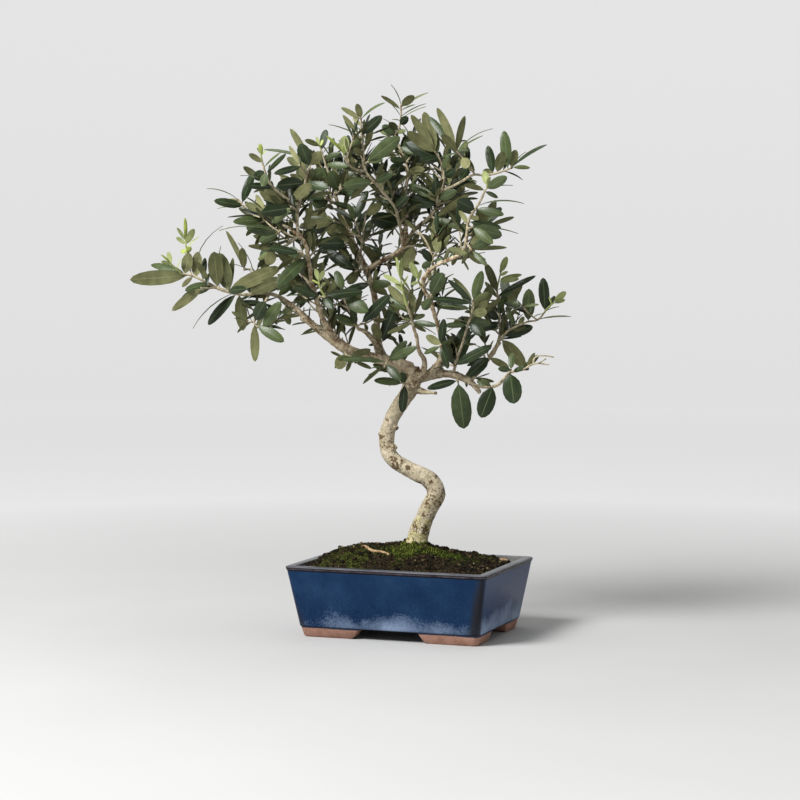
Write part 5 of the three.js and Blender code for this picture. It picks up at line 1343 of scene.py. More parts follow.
# %% Sprays of the left bough
drawn("left_mid", [
    [(-124, 330, -16, 2.3), (-131, 334.5, -17, 2.2), (-147, 339, -19, 2.1), (-166, 337, -21, 1.8),
     (-180, 339, -22, 1.8)],
    [(-152, 338, -20, 1.2), (-154, 352, -12, 1.1), (-158, 362, -8, 1), (-167, 362, -6, .9)],
    [(-142, 337, -19, 1.3), (-150, 322, -30, 1.1), (-157, 309, -36, 1.1), (-148, 302, -38, .9)],
    [(-128, 333, -17, 1.2), (-125, 326, -8, 1), (-128, 321, 0, .9)],
    [(-140, 337, -19, 1.2), (-146, 344, 6, 1), (-150, 352, 20, .9), (-148, 362, 34, .8)]],
    [(-167, 362, -169, 384, 8, 178, -6), (-166, 362, -185, 401, 6, 150, 4), (-158, 362, -173, 389, 6, 86, 8),
     (-164, 338, -128, 353, 13, 172, -6), (-164, 337, -141, 336, 7, 172, 8),
     (-149, 302, -130, 330, 12, 15, -8), (-150, 302, -133, 296, 9, 0, 8), (-157, 308, -156, 270, 9, 176, 4),
     (-155, 306, -127, 290, 11, 5, -8), (-156, 311, -146, 330, 13, 10, -16),
     (-127, 322, -121, 307, 7, 178, 4), (-174, 338, -203, 307, 11, 5, -10),
     (-172, 338, -168, 301, 12, 178, 8), (-177, 338, -218, 303, 7, 84, 2, .1),
     (-131, 336, -153, 326, 7, 78, 8), (-133, 336, -118, 350, 8, 4, 12)],
    small=[(-125, 326, -120, 318, 8, 178, -6)], spread=[(4, 1)])
drawn("left_end", [
    [(-180, 339, -22, 1.8), (-192, 343, -23, 2.1), (-206, 350, -24, 1.5), (-219, 356, -25, 1.3),
     (-229, 358, -27, 1)],
    [(-195, 344, -23, 1.2), (-204, 343.5, -30, 1), (-210, 344, -35, .9)],
    [(-219, 356, -25, .9), (-222, 366, -20, .8), (-224, 375, -17, .8)]],
    [(-222, 354, -281, 352, 15, 180, -6), (-225, 356, -260, 367, 9, 55, 8),
     (-226, 358, -222, 379, 11, 180, 8), (-215, 355, -213, 380, 11, 175, 10),
     (-214, 356, -188, 406, 7, 86, 4, .16), (-208, 351, -206, 374, 6, 10, 14),
     (-203, 346, -226, 341, 9, 20, -8), (-198, 345, -221, 338.5, 8, 5, 8),
     (-208, 345, -239, 321, 9, 150, -4, .14), (-202, 348, -214, 370, 6, 165, -10),
     (-192, 346, -197, 380, 15, 180, -8), (-182, 341, -192, 379, 16, 180, 12),
     (-184, 341, -131, 364, 14, 172, -12, .08), (-183, 341, -164, 343, 8, 10, -18),
     (-182, 341, -178, 374, 6, 180, 18)],
    small=[(-219, 353, -229, 345, 5, 170, -10), (-191, 343, -190, 386, 5, 80, 10),
           (-224, 371, -217, 373, 3, 20, 4)])
drawn("left_shoot", [
    [(-224, 375.4, -17, .8), (-225, 385, -14, .8), (-226, 393, -12, .7)]],
    [(-225, 391, -226, 414, 4, 20, 3), (-226, 391, -234, 404, 4, 150, -3), (-225, 388, -235, 394, 6, 160, 3),
     (-225, 387, -217, 403, 7, 170, -3), (-224, 379, -230, 381, 5, 10, 2), (-224, 379, -220, 385, 5, 0, -3)],
    small=[(-224, 383, -212, 395, 3, 70, 4)], young=True)
drawn("left_bud", [
    [(-229.5, 358, -27, 1), (-235, 363, -30, .9), (-241, 369, -33, .8)]],
    [(-240, 368, -243, 380, 5, 170, 3), (-241, 368, -250, 377, 4, 60, -3), (-240, 367, -250, 370, 5, 160, 3)],
    small=[(-234, 362, -229, 373, 3, 75, 5)], young=True)

# %% [markdown]
# The inner bough rises behind the left one, and its sprays lie deep.

# %% Sprays of the inner bough
drawn("inner_low", [
    [(-95, 333, -32, 1.4), (-91, 335, -38, 1.2), (-86, 335, -43, 1.1)]],
    [(-92, 335, -117, 345, 9, 3, -6), (-93, 334, -115, 326, 6, 60, -8), (-87, 335, -48, 340, 10, 3, -4),
     (-88, 335, -78, 322, 8, 3, -8)], small=[(-93, 334, -125, 336, 5, 75, 4)])
drawn("inner_back", [
    [(-96, 336, -33, 1.4), (-101, 339, -14, 1.2), (-106, 345, 4, 1), (-106, 353, 20, .9)]],
    [], spread=[(0, 2)])
drawn("inner_shoot", [
    [(-86, 335, -43.5, 1.1), (-91, 344, -46, .9), (-92.5, 353, -48, .8)]],
    [(-92, 351, -96, 363, 5, 165, 3), (-92, 350, -87, 361, 5, 165, -3)],
    small=[(-92, 347, -99, 352, 4, 60, 2), (-91, 345, -85, 349, 4, 150, 3)], young=True)
drawn("inner_mid", [
    [(-102, 373, -43, 1.4), (-108, 377, -50, 1.2), (-113, 380, -56, 1)]],
    [(-105, 373, -134, 346, 13, 8, -10), (-106, 374, -134, 341, 7, 0, 6), (-110, 378, -124, 381, 10, 0, 6),
     (-110, 379, -142, 384, 8, 8, -6)], small=[(-108, 377, -119, 369, 5, 178, 8)])
drawn("inner_brown", [
    [(-112, 396, -48, 1.4), (-124, 387, -40, 1.2), (-137, 381, -32, 1)]],
    [(-136, 381, -144, 367, 11, 178, -4), (-133, 382, -119, 368, 11, 178, 8),
     (-128, 385, -150, 385, 9, 5, 10), (-130, 384, -158, 396, 8, 172, 12), (-136, 381, -163, 386, 5, 165, -6),
     (-120, 390, -95, 402, 8, 4, -6)], small=[(-137, 381, -153, 372, 5, 10, 8)])
drawn("far_left", [
    [(-122, 404, -41, 1.5), (-130, 407, -36, 1.4), (-139, 409, -30, 1.3), (-152, 414, -22, 1.2),
     (-163, 421, -16, 1.1), (-173, 432, -12, .9)],
    [(-131, 407, -35, 1.1), (-131, 400, -44, 1), (-134, 398, -48, .9)],
    [(-142, 410, -28, 1.1), (-146, 416, -36, 1), (-147, 421, -40, .9)],
    [(-134, 408, -32, 1.2), (-138, 412, -4, 1), (-136, 418, 16, .9), (-132, 424, 32, .8)]],
    [(-168, 425, -197, 431, 9, 8, -8), (-169, 428, -158, 458, 9, 5, 4, .12), (-146, 413, -178, 410, 9, 8, -8),
     (-147, 420, -166, 428, 8, 172, 6), (-146, 419, -135, 434, 7, 0, -6), (-133, 398, -165, 404, 10, 2, -6),
     (-130, 404, -136, 416, 9, 0, 8), (-131, 400, -152, 390, 9, 5, 10)],
    small=[(-173, 432, -204, 443, 5, 82, -4, .1), (-172, 430, -183, 432, 4, 170, 8),
           (-166, 423, -194, 423, 4, 78, 8), (-147, 421, -155, 437, 6, 176, 10),
           (-147, 421, -166, 435, 4, 70, -10), (-134, 398, -192, 401, 5, 86, -16, .1)], spread=[(3, 1)])

# %% [markdown]
# The inner bough carries the crown's left edge, over three bent twigs.

# %% Sprays of the crown on the left
drawn("crown_left", [
    [(-113, 399, -48, 1.8), (-114, 413, -50, 1.8), (-112, 428, -50, 1.7), (-107, 444, -48, 1.5),
     (-104, 458, -46, 1.3), (-101, 467, -42, 1.1), (-104, 474, -40, .9)],
    [(-104, 457, -46, 1.1), (-108, 463, -54, 1), (-112, 467, -58, .9)],
    [(-112, 427, -50, 1.5), (-121, 431, -54, 1.4), (-131, 438, -58, 1.3), (-140, 447, -60, 1.1),
     (-145, 457, -62, 1), (-149, 471, -64, .9)],
    [(-113, 420, -50, 1.2), (-118, 424, -62, 1), (-120, 425, -68, .9)],
    [(-106, 447, -48, 1.2), (-112, 446, -20, 1), (-114, 450, 0, .9), (-110, 456, 16, .8)]],
    [(-118, 424, -150, 419, 12, 5, -8), (-119, 431, -100, 448, 11, 172, -8),
     (-109, 463, -124, 474, 8, 172, 6), (-110, 465, -137, 458, 7, 5, -10), (-107, 449, -134, 446, 14, 2, -6),
     (-102, 466, -111, 488, 13, 3, -6), (-101, 466, -90, 480, 10, 176, 4), (-103, 472, -121, 503, 8, 150, 6),
     (-104, 473, -147, 482, 6, 60, -8), (-145, 459, -148, 445, 8, 0, -10), (-146, 461, -157, 453, 9, 5, 8),
     (-138, 445, -164, 446, 7, 8, -8), (-145, 458, -125, 478, 5, 10, 8), (-106, 448, -82, 444, 9, 10, -10)],
    small=[(-111, 466, -122, 486, 5, 165, 4), (-110, 465, -114, 477, 4, 10, 8),
           (-141, 449, -171, 456, 4, 82, 4, .08), (-147, 464, -130, 479, 5, 66, -8),
           (-148, 469, -162, 478, 6, 165, -4), (-119, 425, -139, 409, 8, 5, 8)], spread=[(4, 1)])
drawn("crown_left_shoot", [
    [(-149, 471.4, -64, .9), (-150, 476, -65, .8), (-150, 479, -65.5, .8)]],
    [(-150, 477, -151, 488, 5, 15, 2)],
    small=[(-150, 477, -154, 484, 3, 140, -2), (-150, 476, -145, 481, 3, 60, 2)], young=True)

# %% [markdown]
# The leader carries short sprays at the front and long ones behind.

# %% Sprays of the leader
drawn("leader_hook", [
    [(-56, 387, 24, 1.4), (-61, 389, 16, 1.2), (-66, 389, 10, 1)]],
    [(-64, 389, -98, 388, 12, 2, -8), (-62, 389, -90, 379, 8, 10, 8), (-60, 389, -84, 400, 9, 176, 12)])
drawn("leader_brown", [
    [(-64, 403, 28, 1.4), (-70, 407, 20, 1.2), (-77, 411, 14, 1)]],
    [(-72, 408, -84, 399, 8, 176, -8), (-76, 411, -109, 413, 7, 5, 6), (-76, 410, -112, 405, 10, 176, -6),
     (-74, 409, -96, 399, 8, 3, 10)])
drawn("leader_back", [
    [(-60, 394, 27, 1.4), (-68, 394, 46, 1.2), (-77, 398, 60, 1), (-84, 406, 70, .9)]],
    [], spread=[(0, 2)])
drawn("crown_back", [
    [(-72, 424, 31, 2.2), (-76, 438, 34, 1.7), (-80, 452, 36, 1.5), (-85, 466, 38, 1.2), (-88, 476, 38, 1),
     (-90, 483, 38, .9)],
    [(-73, 427, 32, 1.5), (-80, 430, 22, 1.3), (-86, 434, 14, 1.1)],
    [(-76, 438, 34, 1.3), (-72, 440, 22, 1.1), (-70, 443, 14, 1)],
    [(-75, 436, 33, 1.4), (-68, 444, 50, 1.2), (-62, 452, 64, 1), (-56, 458, 74, .9)],
    [(-79, 448, 35, 1.3), (-90, 452, 50, 1.1), (-100, 454, 64, .9)]],
    [(-82, 431, -99, 427, 11, 8, -8), (-85, 433, -108, 436, 9, 15, -4), (-84, 433, -103, 447, 10, 5, 8),
     (-72, 440, -81, 461, 13, 3, -8), (-71, 441, -48, 442, 9, 3, 6), (-74, 439, -48, 437, 6, 30, -10),
     (-79, 430, -58, 423, 6, 5, 6), (-84, 464, -104, 451, 12, 5, -8), (-82, 459, -50, 454, 10, 8, -10),
     (-89, 481, -85, 502, 8, 10, 6)], small=[(-87, 473, -70, 479, 6, 10, -6), (-88, 478, -79, 487, 3, 76, 6)],
    spread=[(3, 1), (4, 1)])
drawn("crown_back_shoot", [
    [(-90, 483.4, 38, .9), (-92, 487, 37, .8)]],
    [(-91, 485, -106, 492, 6, 160, -3), (-92, 486, -95, 495, 4, 150, 3)],
    small=[(-91, 485, -88, 492, 3, 20, 2)], young=True)
drawn("leader_fork", [
    [(-51, 376, 22, 1.3), (-49, 388, 8, 1.2), (-47, 404, 0, 1.1), (-45, 418, -4, .9)],
    [(-49, 390, 7, 1.1), (-57, 413, -8, .9)]],
    [(-57, 412, -43, 441, 8, 20, 4), (-46, 416, -30, 428, 10, 172, -6), (-49, 388, -28, 376, 6, 60, -8, .12),
     (-49, 387, -31, 369, 9, 178, 6)],
    small=[(-45, 417, -30, 438, 5, 60, 8), (-57, 411, -55, 424, 5, 0, 6), (-48, 394, -35, 402, 3, 78, 8),
           (-56, 412, -63, 428, 6, 10, -8)])
drawn("leader_low", [
    [(-45, 362, 20, 1.3), (-51, 362, 12, 1.1), (-56, 360, 6, 1)]],
    [(-51, 362, -65, 371, 7, 15, 6), (-52, 361, -63, 348, 10, 178, -8), (-55, 360, -84, 381, 12, 3, 10)],
    small=[(-53, 362, -68, 365, 5, 80, -6)])
drawn("leader_cross", [
    [(-38, 342, 17, 1.2), (-40, 346, 8, 1.1), (-41, 348, 2, 1)]],
    [(-41, 347, -20, 348, 9, 4, -6), (-41, 347, -62, 342, 9, 4, 4), (-40, 346, -24, 338, 8, 172, 8)])
drawn("side_fan", [
    [(-53, 303, -20, 1.7), (-60, 318, -28, 1.3), (-66, 332, -34, 1.1), (-68, 342, -38, .9)],
    [(-54, 305, -21, 1.1), (-50, 308, -30, .9)]],
    [(-67, 341, -75, 361, 9, 5, 6), (-66, 334, -43, 320, 14, 8, -8), (-60, 318, -72, 330, 7, 15, 8),
     (-55, 307, -60, 323, 7, 2, -8), (-56, 308, -76, 316, 9, 3, -4), (-67, 338, -50, 346, 9, 3, 8),
     (-50, 308, -21, 337, 11, 3, -6), (-54, 305, -72, 311, 7, 140, -10)])
drawn("leader_base", [
    [(-32, 286, 9, 1.4), (-30, 289, -4, 1.2), (-29, 291, -10, 1.1)]],
    [(-29, 290, -15, 326, 13, 2, -6), (-30, 290, -38, 308, 9, 176, 6)])
drawn("leader_behind", [
    [(-34, 296, 10, 1.4), (-27, 302, 28, 1.2), (-20, 309, 44, 1), (-14, 318, 56, .9)]],
    [], spread=[(0, 2)])

# %% [markdown]
# Young twigs break from the old wood round the knuckle.

# %% Sprays round the knuckle
drawn("left_under", [
    [(-66, 280, -9, 1.5), (-64, 276, -16, 1.2), (-60, 275, -22, 1)]],
    [(-65, 278, -74, 263, 12, 176, -4), (-62, 276, -40, 282, 7, 178, 8)],
    small=[(-61, 276, -73, 272, 5, 40, -10)])
drawn("knuckle_left", [
    [(-20, 269, -3, 1.5), (-22, 272, -13, 1.2), (-24, 270, -20, 1.1), (-27, 264, -26, 1)]],
    [(-22, 272, -4, 291, 8, 5, -4), (-23, 271, 6, 285, 9, 8, -10), (-25, 270, -73, 272, 7, 40, 6),
     (-26, 265, -48, 248, 8, 120, -6), (-25, 267, -10, 251, 9, 5, -8)],
    small=[(-26, 264, -41, 263, 4, 78, -10)])
drawn("knuckle_low", [
    [(0, 249, -4, 1.5), (-6, 248, -15, 1.2), (-10, 249, -19, 1)]],
    [(-8, 248, -37, 251, 9, 5, -8), (-6, 247, -9, 219, 9, 5, 2), (-7, 249, -9, 260, 8, 3, -8)])
drawn("dark_top", [
    [(2.5, 305, -26, 1.8), (0, 315, -30, 1.7), (-4, 326, -33, 1.4)]],
    [(-2, 320, -22, 334, 7, 10, 6), (-4, 325, -23, 346, 9, 172, 8), (1, 314, 0, 339, 9, 172, -8),
     (2, 310, 26, 306, 6, 10, -8), (2, 309, -24, 298, 5, 176, -8)],
    small=[(-1, 318, -21, 327, 5, 60, -6), (1, 312, 14, 317, 5, 10, 6), (2, 308, 25, 297, 4, 76, 6),
           (2, 307, 15, 300, 4, 165, 8), (1, 312, -7, 313, 3, 10, 4)])
drawn("dark_shoot", [
    [(-4, 326.4, -33, 1.3), (-8, 340, -36, 1), (-10, 351, -38, .9)]],
    [(-10, 350, -15, 375, 4, 165, 3), (-9, 350, -9, 374, 5, 160, -4), (-9, 347, -28, 357, 5, 170, 5),
     (-8, 343, -3, 356, 4, 60, 3), (-8, 341, -16, 347, 4, 150, -4)], young=True)

# %% [markdown]
# The right leader bends twice, and its end carries a spray up.

# %% Sprays of the right leader
drawn("right_curl", [
    [(28, 300, -20, 1.3), (29, 292, -30, 1.1), (30, 286, -36, 1)]],
    [(29, 287, 33, 313, 8, 2, -6), (29, 287, 15, 296, 8, 176, 6), (30, 286, 37, 263, 7, 8, -4)],
    small=[(29, 293, 43, 304, 4, 76, 8), (30, 287, 40, 292, 3, 20, 4), (30, 286, 13, 278, 5, 5, 6)])
drawn("right_fold", [
    [(20, 331, -28, 1.3), (20, 334, -38, 1.1), (20, 337, -42, 1)]],
    [(20, 336, 32, 359, 14, 2, -6), (20, 334, 12, 322, 9, 2, 6)], small=[(20, 335, 48, 346, 3, 80, 6)])
drawn("right_shoot", [
    [(11, 346, -32, 1.2), (8, 349, -41, 1), (7, 353, -46, .9)]],
    [(7, 351, -1, 370, 7, 165, -3), (7, 352, 4, 364, 4, 60, 4), (8, 350, 10, 362, 4, 150, -4)],
    small=[(8, 350, 0, 347, 4, 160, 2)], young=True)
drawn("elbow", [
    [(22, 364, -39, 1.4), (21, 375, -34, 1.2), (14, 392, -26, 1), (8, 400, -22, .9)],
    [(21, 373, -35, 1.2), (29, 384, -26, 1.1), (38, 389, -20, 1.1), (47, 388, -16, .9)]],
    [(21, 371, 11, 364, 7, 3, -6), (9, 399, 27, 379, 10, 176, 8), (30, 385, 31, 399, 8, 176, 6),
     (38, 389, 23, 405, 9, 3, 8), (22, 370, 11, 382, 8, 3, -12)],
    small=[(22, 370, 32, 373, 4, 40, -6), (45, 388, 33, 402, 5, 78, -6)])
drawn("elbow_up", [
    [(54, 384, -50, 1.9), (56, 398, -52, 1.8), (58, 412, -54, 1.5), (64, 422, -55, 1.3), (71, 434, -56, 1.2),
     (74, 441, -57, 1.1), (76, 444, -57, .9)],
    [(55, 389, -51, 1.1), (59, 384, -60, 1), (61, 381, -64, .9)],
    [(57, 403, -53, 1.1), (60, 404, -62, 1), (62, 405, -66, .9)],
    [(56, 396, -52, 1.3), (66, 398, -26, 1.1), (74, 402, -8, 1), (80, 408, 8, .9)]],
    [(75, 443, 96, 455, 10, 3, -6), (74, 441, 53, 447, 7, 166, -6), (66, 422, 93, 417, 8, 8, -6),
     (64, 422, 46, 431, 13, 8, -8), (66, 424, 76, 405, 8, 176, 8), (61, 405, 82, 388, 9, 3, -8),
     (61, 405, 91, 396, 13, 2, 6), (58, 410, 90, 404, 8, 2, -6), (61, 382, 96, 384, 5, 150, 6),
     (60, 383, 82, 393, 9, 2, -6)],
    small=[(74, 440, 87, 434, 5, 30, 4), (75, 443, 102, 446, 4, 78, 10), (67, 425, 113, 428, 5, 74, 4, .1),
           (60, 404, 107, 398, 5, 78, 12), (61, 381, 76, 366, 6, 10, -8), (57, 407, 48, 421, 6, 150, 6),
           (59, 413, 68, 414, 5, 165, -6)], spread=[(3, 1)])
drawn("elbow_bud", [
    [(76, 444.4, -57, .9), (76, 447, -57.5, .8)]],
    [(76, 446, 73, 461, 7, 166, 4), (76, 446, 79, 455, 4, 150, -3)], young=True)

# %% [markdown]
# Three large leaves hang from the right bough, and its tip twig is nearly bare.

# %% Sprays of the right bough
drawn("right_inner", [
    [(42, 257, -5, 1.8), (46, 272, -14, 1.5), (52, 290, -22, 1.3), (57, 307, -30, 1.3), (61, 320, -34, 1.2),
     (62, 331, -36, 1)],
    [(44, 265, -10, 1.2), (43, 266, -22, 1)],
    [(57, 308, -30, 1.2), (64, 312, -4, 1.1), (70, 318, 14, 1), (74, 326, 30, .9)]],
    [(43, 266, 81, 286, 10, 3, -6), (44, 266, 56, 306, 16, 8, 10), (43, 265, 31, 290, 7, 8, -6),
     (62, 331, 71, 361, 10, 2, -4), (61, 330, 42, 354, 6, 150, 6), (61, 329, 37, 352, 6, 4, -6),
     (61, 328, 20, 333, 7, 20, -8), (61, 323, 20, 328, 8, 2, 6), (57, 307, 33, 306, 6, 10, -6),
     (58, 310, 71, 296, 9, 2, -8), (60, 318, 76, 320, 9, 176, -10), (58, 311, 80, 308, 8, 4, 8),
     (59, 314, 77, 331, 9, 176, 6)],
    small=[(60, 320, 31, 326, 4, 78, -8), (57, 309, 35, 313, 4, 76, 4), (62, 330, 78, 339, 6, 10, 6),
           (61, 326, 50, 338, 5, 10, 10)], spread=[(2, 1)])
drawn("right_hang", [
    [(46, 254, -6, 1.6), (47, 250, -13, 1.2)]],
    [(47, 250, 53, 203, 20, 2, 6), (46, 251, 16, 243, 8, 8, -8)])
drawn("right_low", [
    [(62, 247, -9, 1.8), (75, 244.5, -14, 1.7), (86, 246.5, -18, 1.8), (93, 253, -22, 1.6),
     (99, 259, -25, 1.4), (112, 262, -29, 1.1), (123, 268, -31, 1), (138, 267, -34, .7)],
    [(122, 267, -31, .9), (124, 274, -30, .8), (134, 276, -31, .7), (143, 274.5, -32, .7)],
    [(127, 268, -32, .7), (135, 273, -35, .7)],
    [(98, 258, -25, 1), (100, 262, -32, .9)]],
    [(82, 245, 70, 214, 17, 2, -4), (99, 259, 103, 228, 19, 2, -4), (100, 262, 101, 279, 7, 2, 6)],
    small=[(100, 262, 87, 263, 6, 2, -6), (102, 260, 113, 265, 5, 10, -8), (76, 244, 66, 251, 5, 20, 4),
           (80, 245, 70, 252.5, 5, 10, -6), (116, 264, 124, 279, 5, 150, 6)], gap=60)
drawn("right_rise", [
    [(87, 288, 24, 2.2), (89, 299, 27, 1.5), (88, 314, 29, 1.3), (87, 330, 30, 1.4), (86, 342, 30, 1.1)],
    [(88, 291, 25, 1.7), (96, 300, 22, 1.4), (105, 305, 18, 1.2), (117, 310, 12, 1.1), (127, 312, 8, 1),
     (134, 320, 5, .9)],
    [(126, 312, 8, .9), (118, 318, 2, .8), (111, 326, -4, .8)],
    [(88, 306, 28, 1.3), (94, 312, 46, 1.1), (98, 320, 60, 1), (96, 330, 72, .9)]],
    [(90, 293, 114, 265, 14, 170, -8), (92, 296, 122, 305, 11, 3, -6), (117, 311, 118, 343, 13, 2, -4),
     (134, 320, 132, 354, 11, 3, 4), (88, 315, 66, 328, 9, 176, -8), (88, 308, 64, 302, 9, 3, -8),
     (87, 328, 66, 319, 9, 176, 8), (88, 312, 76, 320, 8, 2, 8), (86, 336, 125, 356, 6, 12, -6),
     (87, 328, 96, 334, 8, 8, -8), (88, 318, 92, 333, 7, 10, -12), (86, 338, 75, 368, 9, 165, -6),
     (88, 303, 74, 306, 7, 178, -14)],
    small=[(104, 305, 95, 325, 6, 10, 6), (105, 305, 111, 325, 3, 70, 4), (107, 306, 113, 315, 5, 176, -4),
           (127, 312, 160, 315, 5, 70, -6), (111, 326, 98, 330, 5, 5, 6), (112, 325, 100, 320, 3, 78, -4),
           (111, 326, 102, 334, 3, 76, 6), (112, 325, 128, 327, 4, 40, -6), (134, 320, 148, 325, 3, 76, 6),
           (132, 318, 123, 315, 3, 76, -6), (87, 335, 102, 341, 6, 10, 6), (86, 341, 96, 346, 3, 76, 4),
           (86, 333, 74, 350, 5, 10, 6), (134, 320, 144, 336, 5, 6, 8)], spread=[(3, 1)])
drawn("right_droop", [
    [(78, 273, 16, 1.4), (78, 274, 6, 1.2), (78, 274, 2, 1)]],
    [(78, 274, 57, 255, 12, 8, -4), (78, 274, 56, 266, 6, 8, 8), (78, 274, 98, 264, 7, 176, 4)])
drawn("right_rise_shoot", [
    [(86, 342.4, 30, 1.1), (88, 352, 30, .9), (90, 360, 30, .8)]],
    [(90, 359, 96, 375, 7, 165, 3), (89, 357, 92, 368, 4, 150, -4), (89, 352, 111, 357, 5, 165, 4),
     (88, 350, 108, 353, 6, 160, -4)], small=[(87, 348, 76, 353, 3, 60, -3), (89, 356, 97, 360, 4, 150, 4)],
    young=True)
drawn("right_tip_shoot", [
    [(134, 320.4, 5, .9), (138, 325, 3, .8), (143, 329, 2, .8)]],
    [(143, 329, 155, 340, 7, 165, 3), (142, 329, 154, 332, 5, 150, -4)],
    small=[(140, 327, 138, 335, 4, 60, 4)], young=True)

# %% [markdown]
# The middle bough forks three times and carries the top of the crown.

# %% Sprays of the middle, to the top
drawn("middle_low", [
    [(-5, 401, 3, 2), (-5, 408, 4, 2), (-4, 418, 6, 1.9), (-5, 432, 9, 1.8), (-5, 445, 12, 1.7),
     (-3, 458, 15, 1.8), (-7, 473, 18, 1.4), (-12, 486, 20, 1.2), (-16, 496, 21, 1), (-12, 503, 20, .9),
     (-10, 514, 19, .9), (-10, 527, 18, .8)],
    [(-5, 406, 4, 1.3), (-9, 407, 12, 1.1), (-13, 408, 16, 1)],
    [(-5, 429, 8, 1.3), (-8, 431, -2, 1)],
    [(-6, 470, 17, 1.2), (-3, 470, 8, 1)],
    [(-4, 452, 13, 1.4), (4, 458, 32, 1.2), (10, 466, 48, 1.1), (12, 476, 62, .9)],
    [(-5, 440, 11, 1.4), (-14, 436, 30, 1.2), (-22, 438, 46, 1.1), (-28, 446, 60, .9)]],
    [(-12, 405, -40, 414, 17, 2, -8), (-10, 404, -29, 436, 12, 8, 8), (-8, 404, -16, 426, 9, 0, -12),
     (-8, 431, -22, 443, 9, 0, 6), (-8, 430, -24, 436, 10, 20, -6), (-4, 470, -21, 472, 8, 10, -6),
     (-5, 464, -21, 463, 11, 0, -12), (-4, 455, -24, 452, 7, 0, -8), (-3, 460, 14, 462, 9, 176, -4),
     (-10, 525, 3, 536, 9, 160, -6), (-11, 507, -3, 515, 8, 2, -6), (-13, 502, -22, 509, 7, 170, -6),
     (-15, 497, -29, 506, 10, 3, -8), (-11, 485, 4, 478, 7, 10, -6)],
    small=[(-10, 526, -20, 547, 5, 82, 4, .08), (-10, 522, -30, 536, 5, 150, -6),
           (-10, 515, -29, 535, 4, 82, 8), (-10, 524, 17, 539, 5, 64, 4), (-10, 521, 4, 527, 4, 70, -6),
           (-10, 515, 15, 528, 4, 76, 8), (-10, 512, 15, 525, 4, 82, -8), (-11, 511, -19, 512, 4, 78, 6),
           (-13, 501, -28, 513, 4, 82, 8), (-14, 499, -5, 501, 5, 20, -6), (-16, 496, -31, 501, 6, 10, 8),
           (-4, 462, 12, 468, 6, 172, 6)], spread=[(4, 1), (5, 1)])
drawn("middle_end", [
    [(-10, 382, 4, 1.6), (-3, 385, 2, 1.4), (4, 386, 0, 1.2)]],
    [(3, 386, -6, 364, 12, 178, -6), (0, 385, -18, 371, 8, 172, 8)], small=[(3, 386, 12, 386, 5, 30, 6)])
drawn("top_left", [
    [(-10, 402, -9, 1.6), (-12, 409, -14, 1.6), (-16, 424, -24, 1.5), (-27, 438, -30, 1.4),
     (-36, 449, -33, 1.4), (-45, 460, -35, 1.4), (-47, 474, -36, 1.2), (-49, 492, -36, 1),
     (-50, 503, -36, .9), (-50, 514, -36, .8)],
    [(-45, 460, -35, 1.1), (-57, 463, -42, 1), (-63, 468, -46, .9), (-67, 474, -48, .8)],
    [(-46, 468, -36, 1.1), (-43, 470, -46, .9)],
    [(-36, 449, -33, 1.1), (-38, 450, -44, .9)]],
    [(-50, 512, -70, 524, 6, 150, 4), (-50, 513, -54, 528, 7, 168, -4), (-49, 497, -29, 516, 10, 3, -6),
     (-44, 470, -11, 495, 14, 2, -8), (-45, 470, -22, 496, 6, 60, 10), (-38, 450, -68, 446, 11, 5, -8),
     (-36, 450, -18, 458, 8, 5, -10), (-29, 440, -10, 456, 10, 2, 8), (-60, 465, -84, 467, 7, 10, 8),
     (-16, 424, -3, 436, 8, 6, -8)],
    small=[(-49, 512, -26, 529, 5, 60, -6, .1), (-49, 494, -82, 507, 4, 72, 6),
           (-50, 494, -60, 485, 6, 0, -8), (-50, 506, -58, 514, 4, 170, 4), (-44, 469, -29, 477, 4, 66, -14),
           (-44, 469, -28, 472, 5, 10, 6), (-47, 476, -58, 484, 6, 176, -8)])
drawn("top_left_shoot", [
    [(-67, 474.4, -48, .8), (-67.5, 479, -49, .8)]],
    [(-67, 477, -66, 496, 10, 168, 3), (-67, 478, -85, 496, 6, 60, -4)],
    small=[(-67, 477, -73, 489, 3, 150, -3), (-67, 477, -62, 489, 3, 150, 4),
           (-67, 477, -68, 486, 3, 20, -5)], young=True)
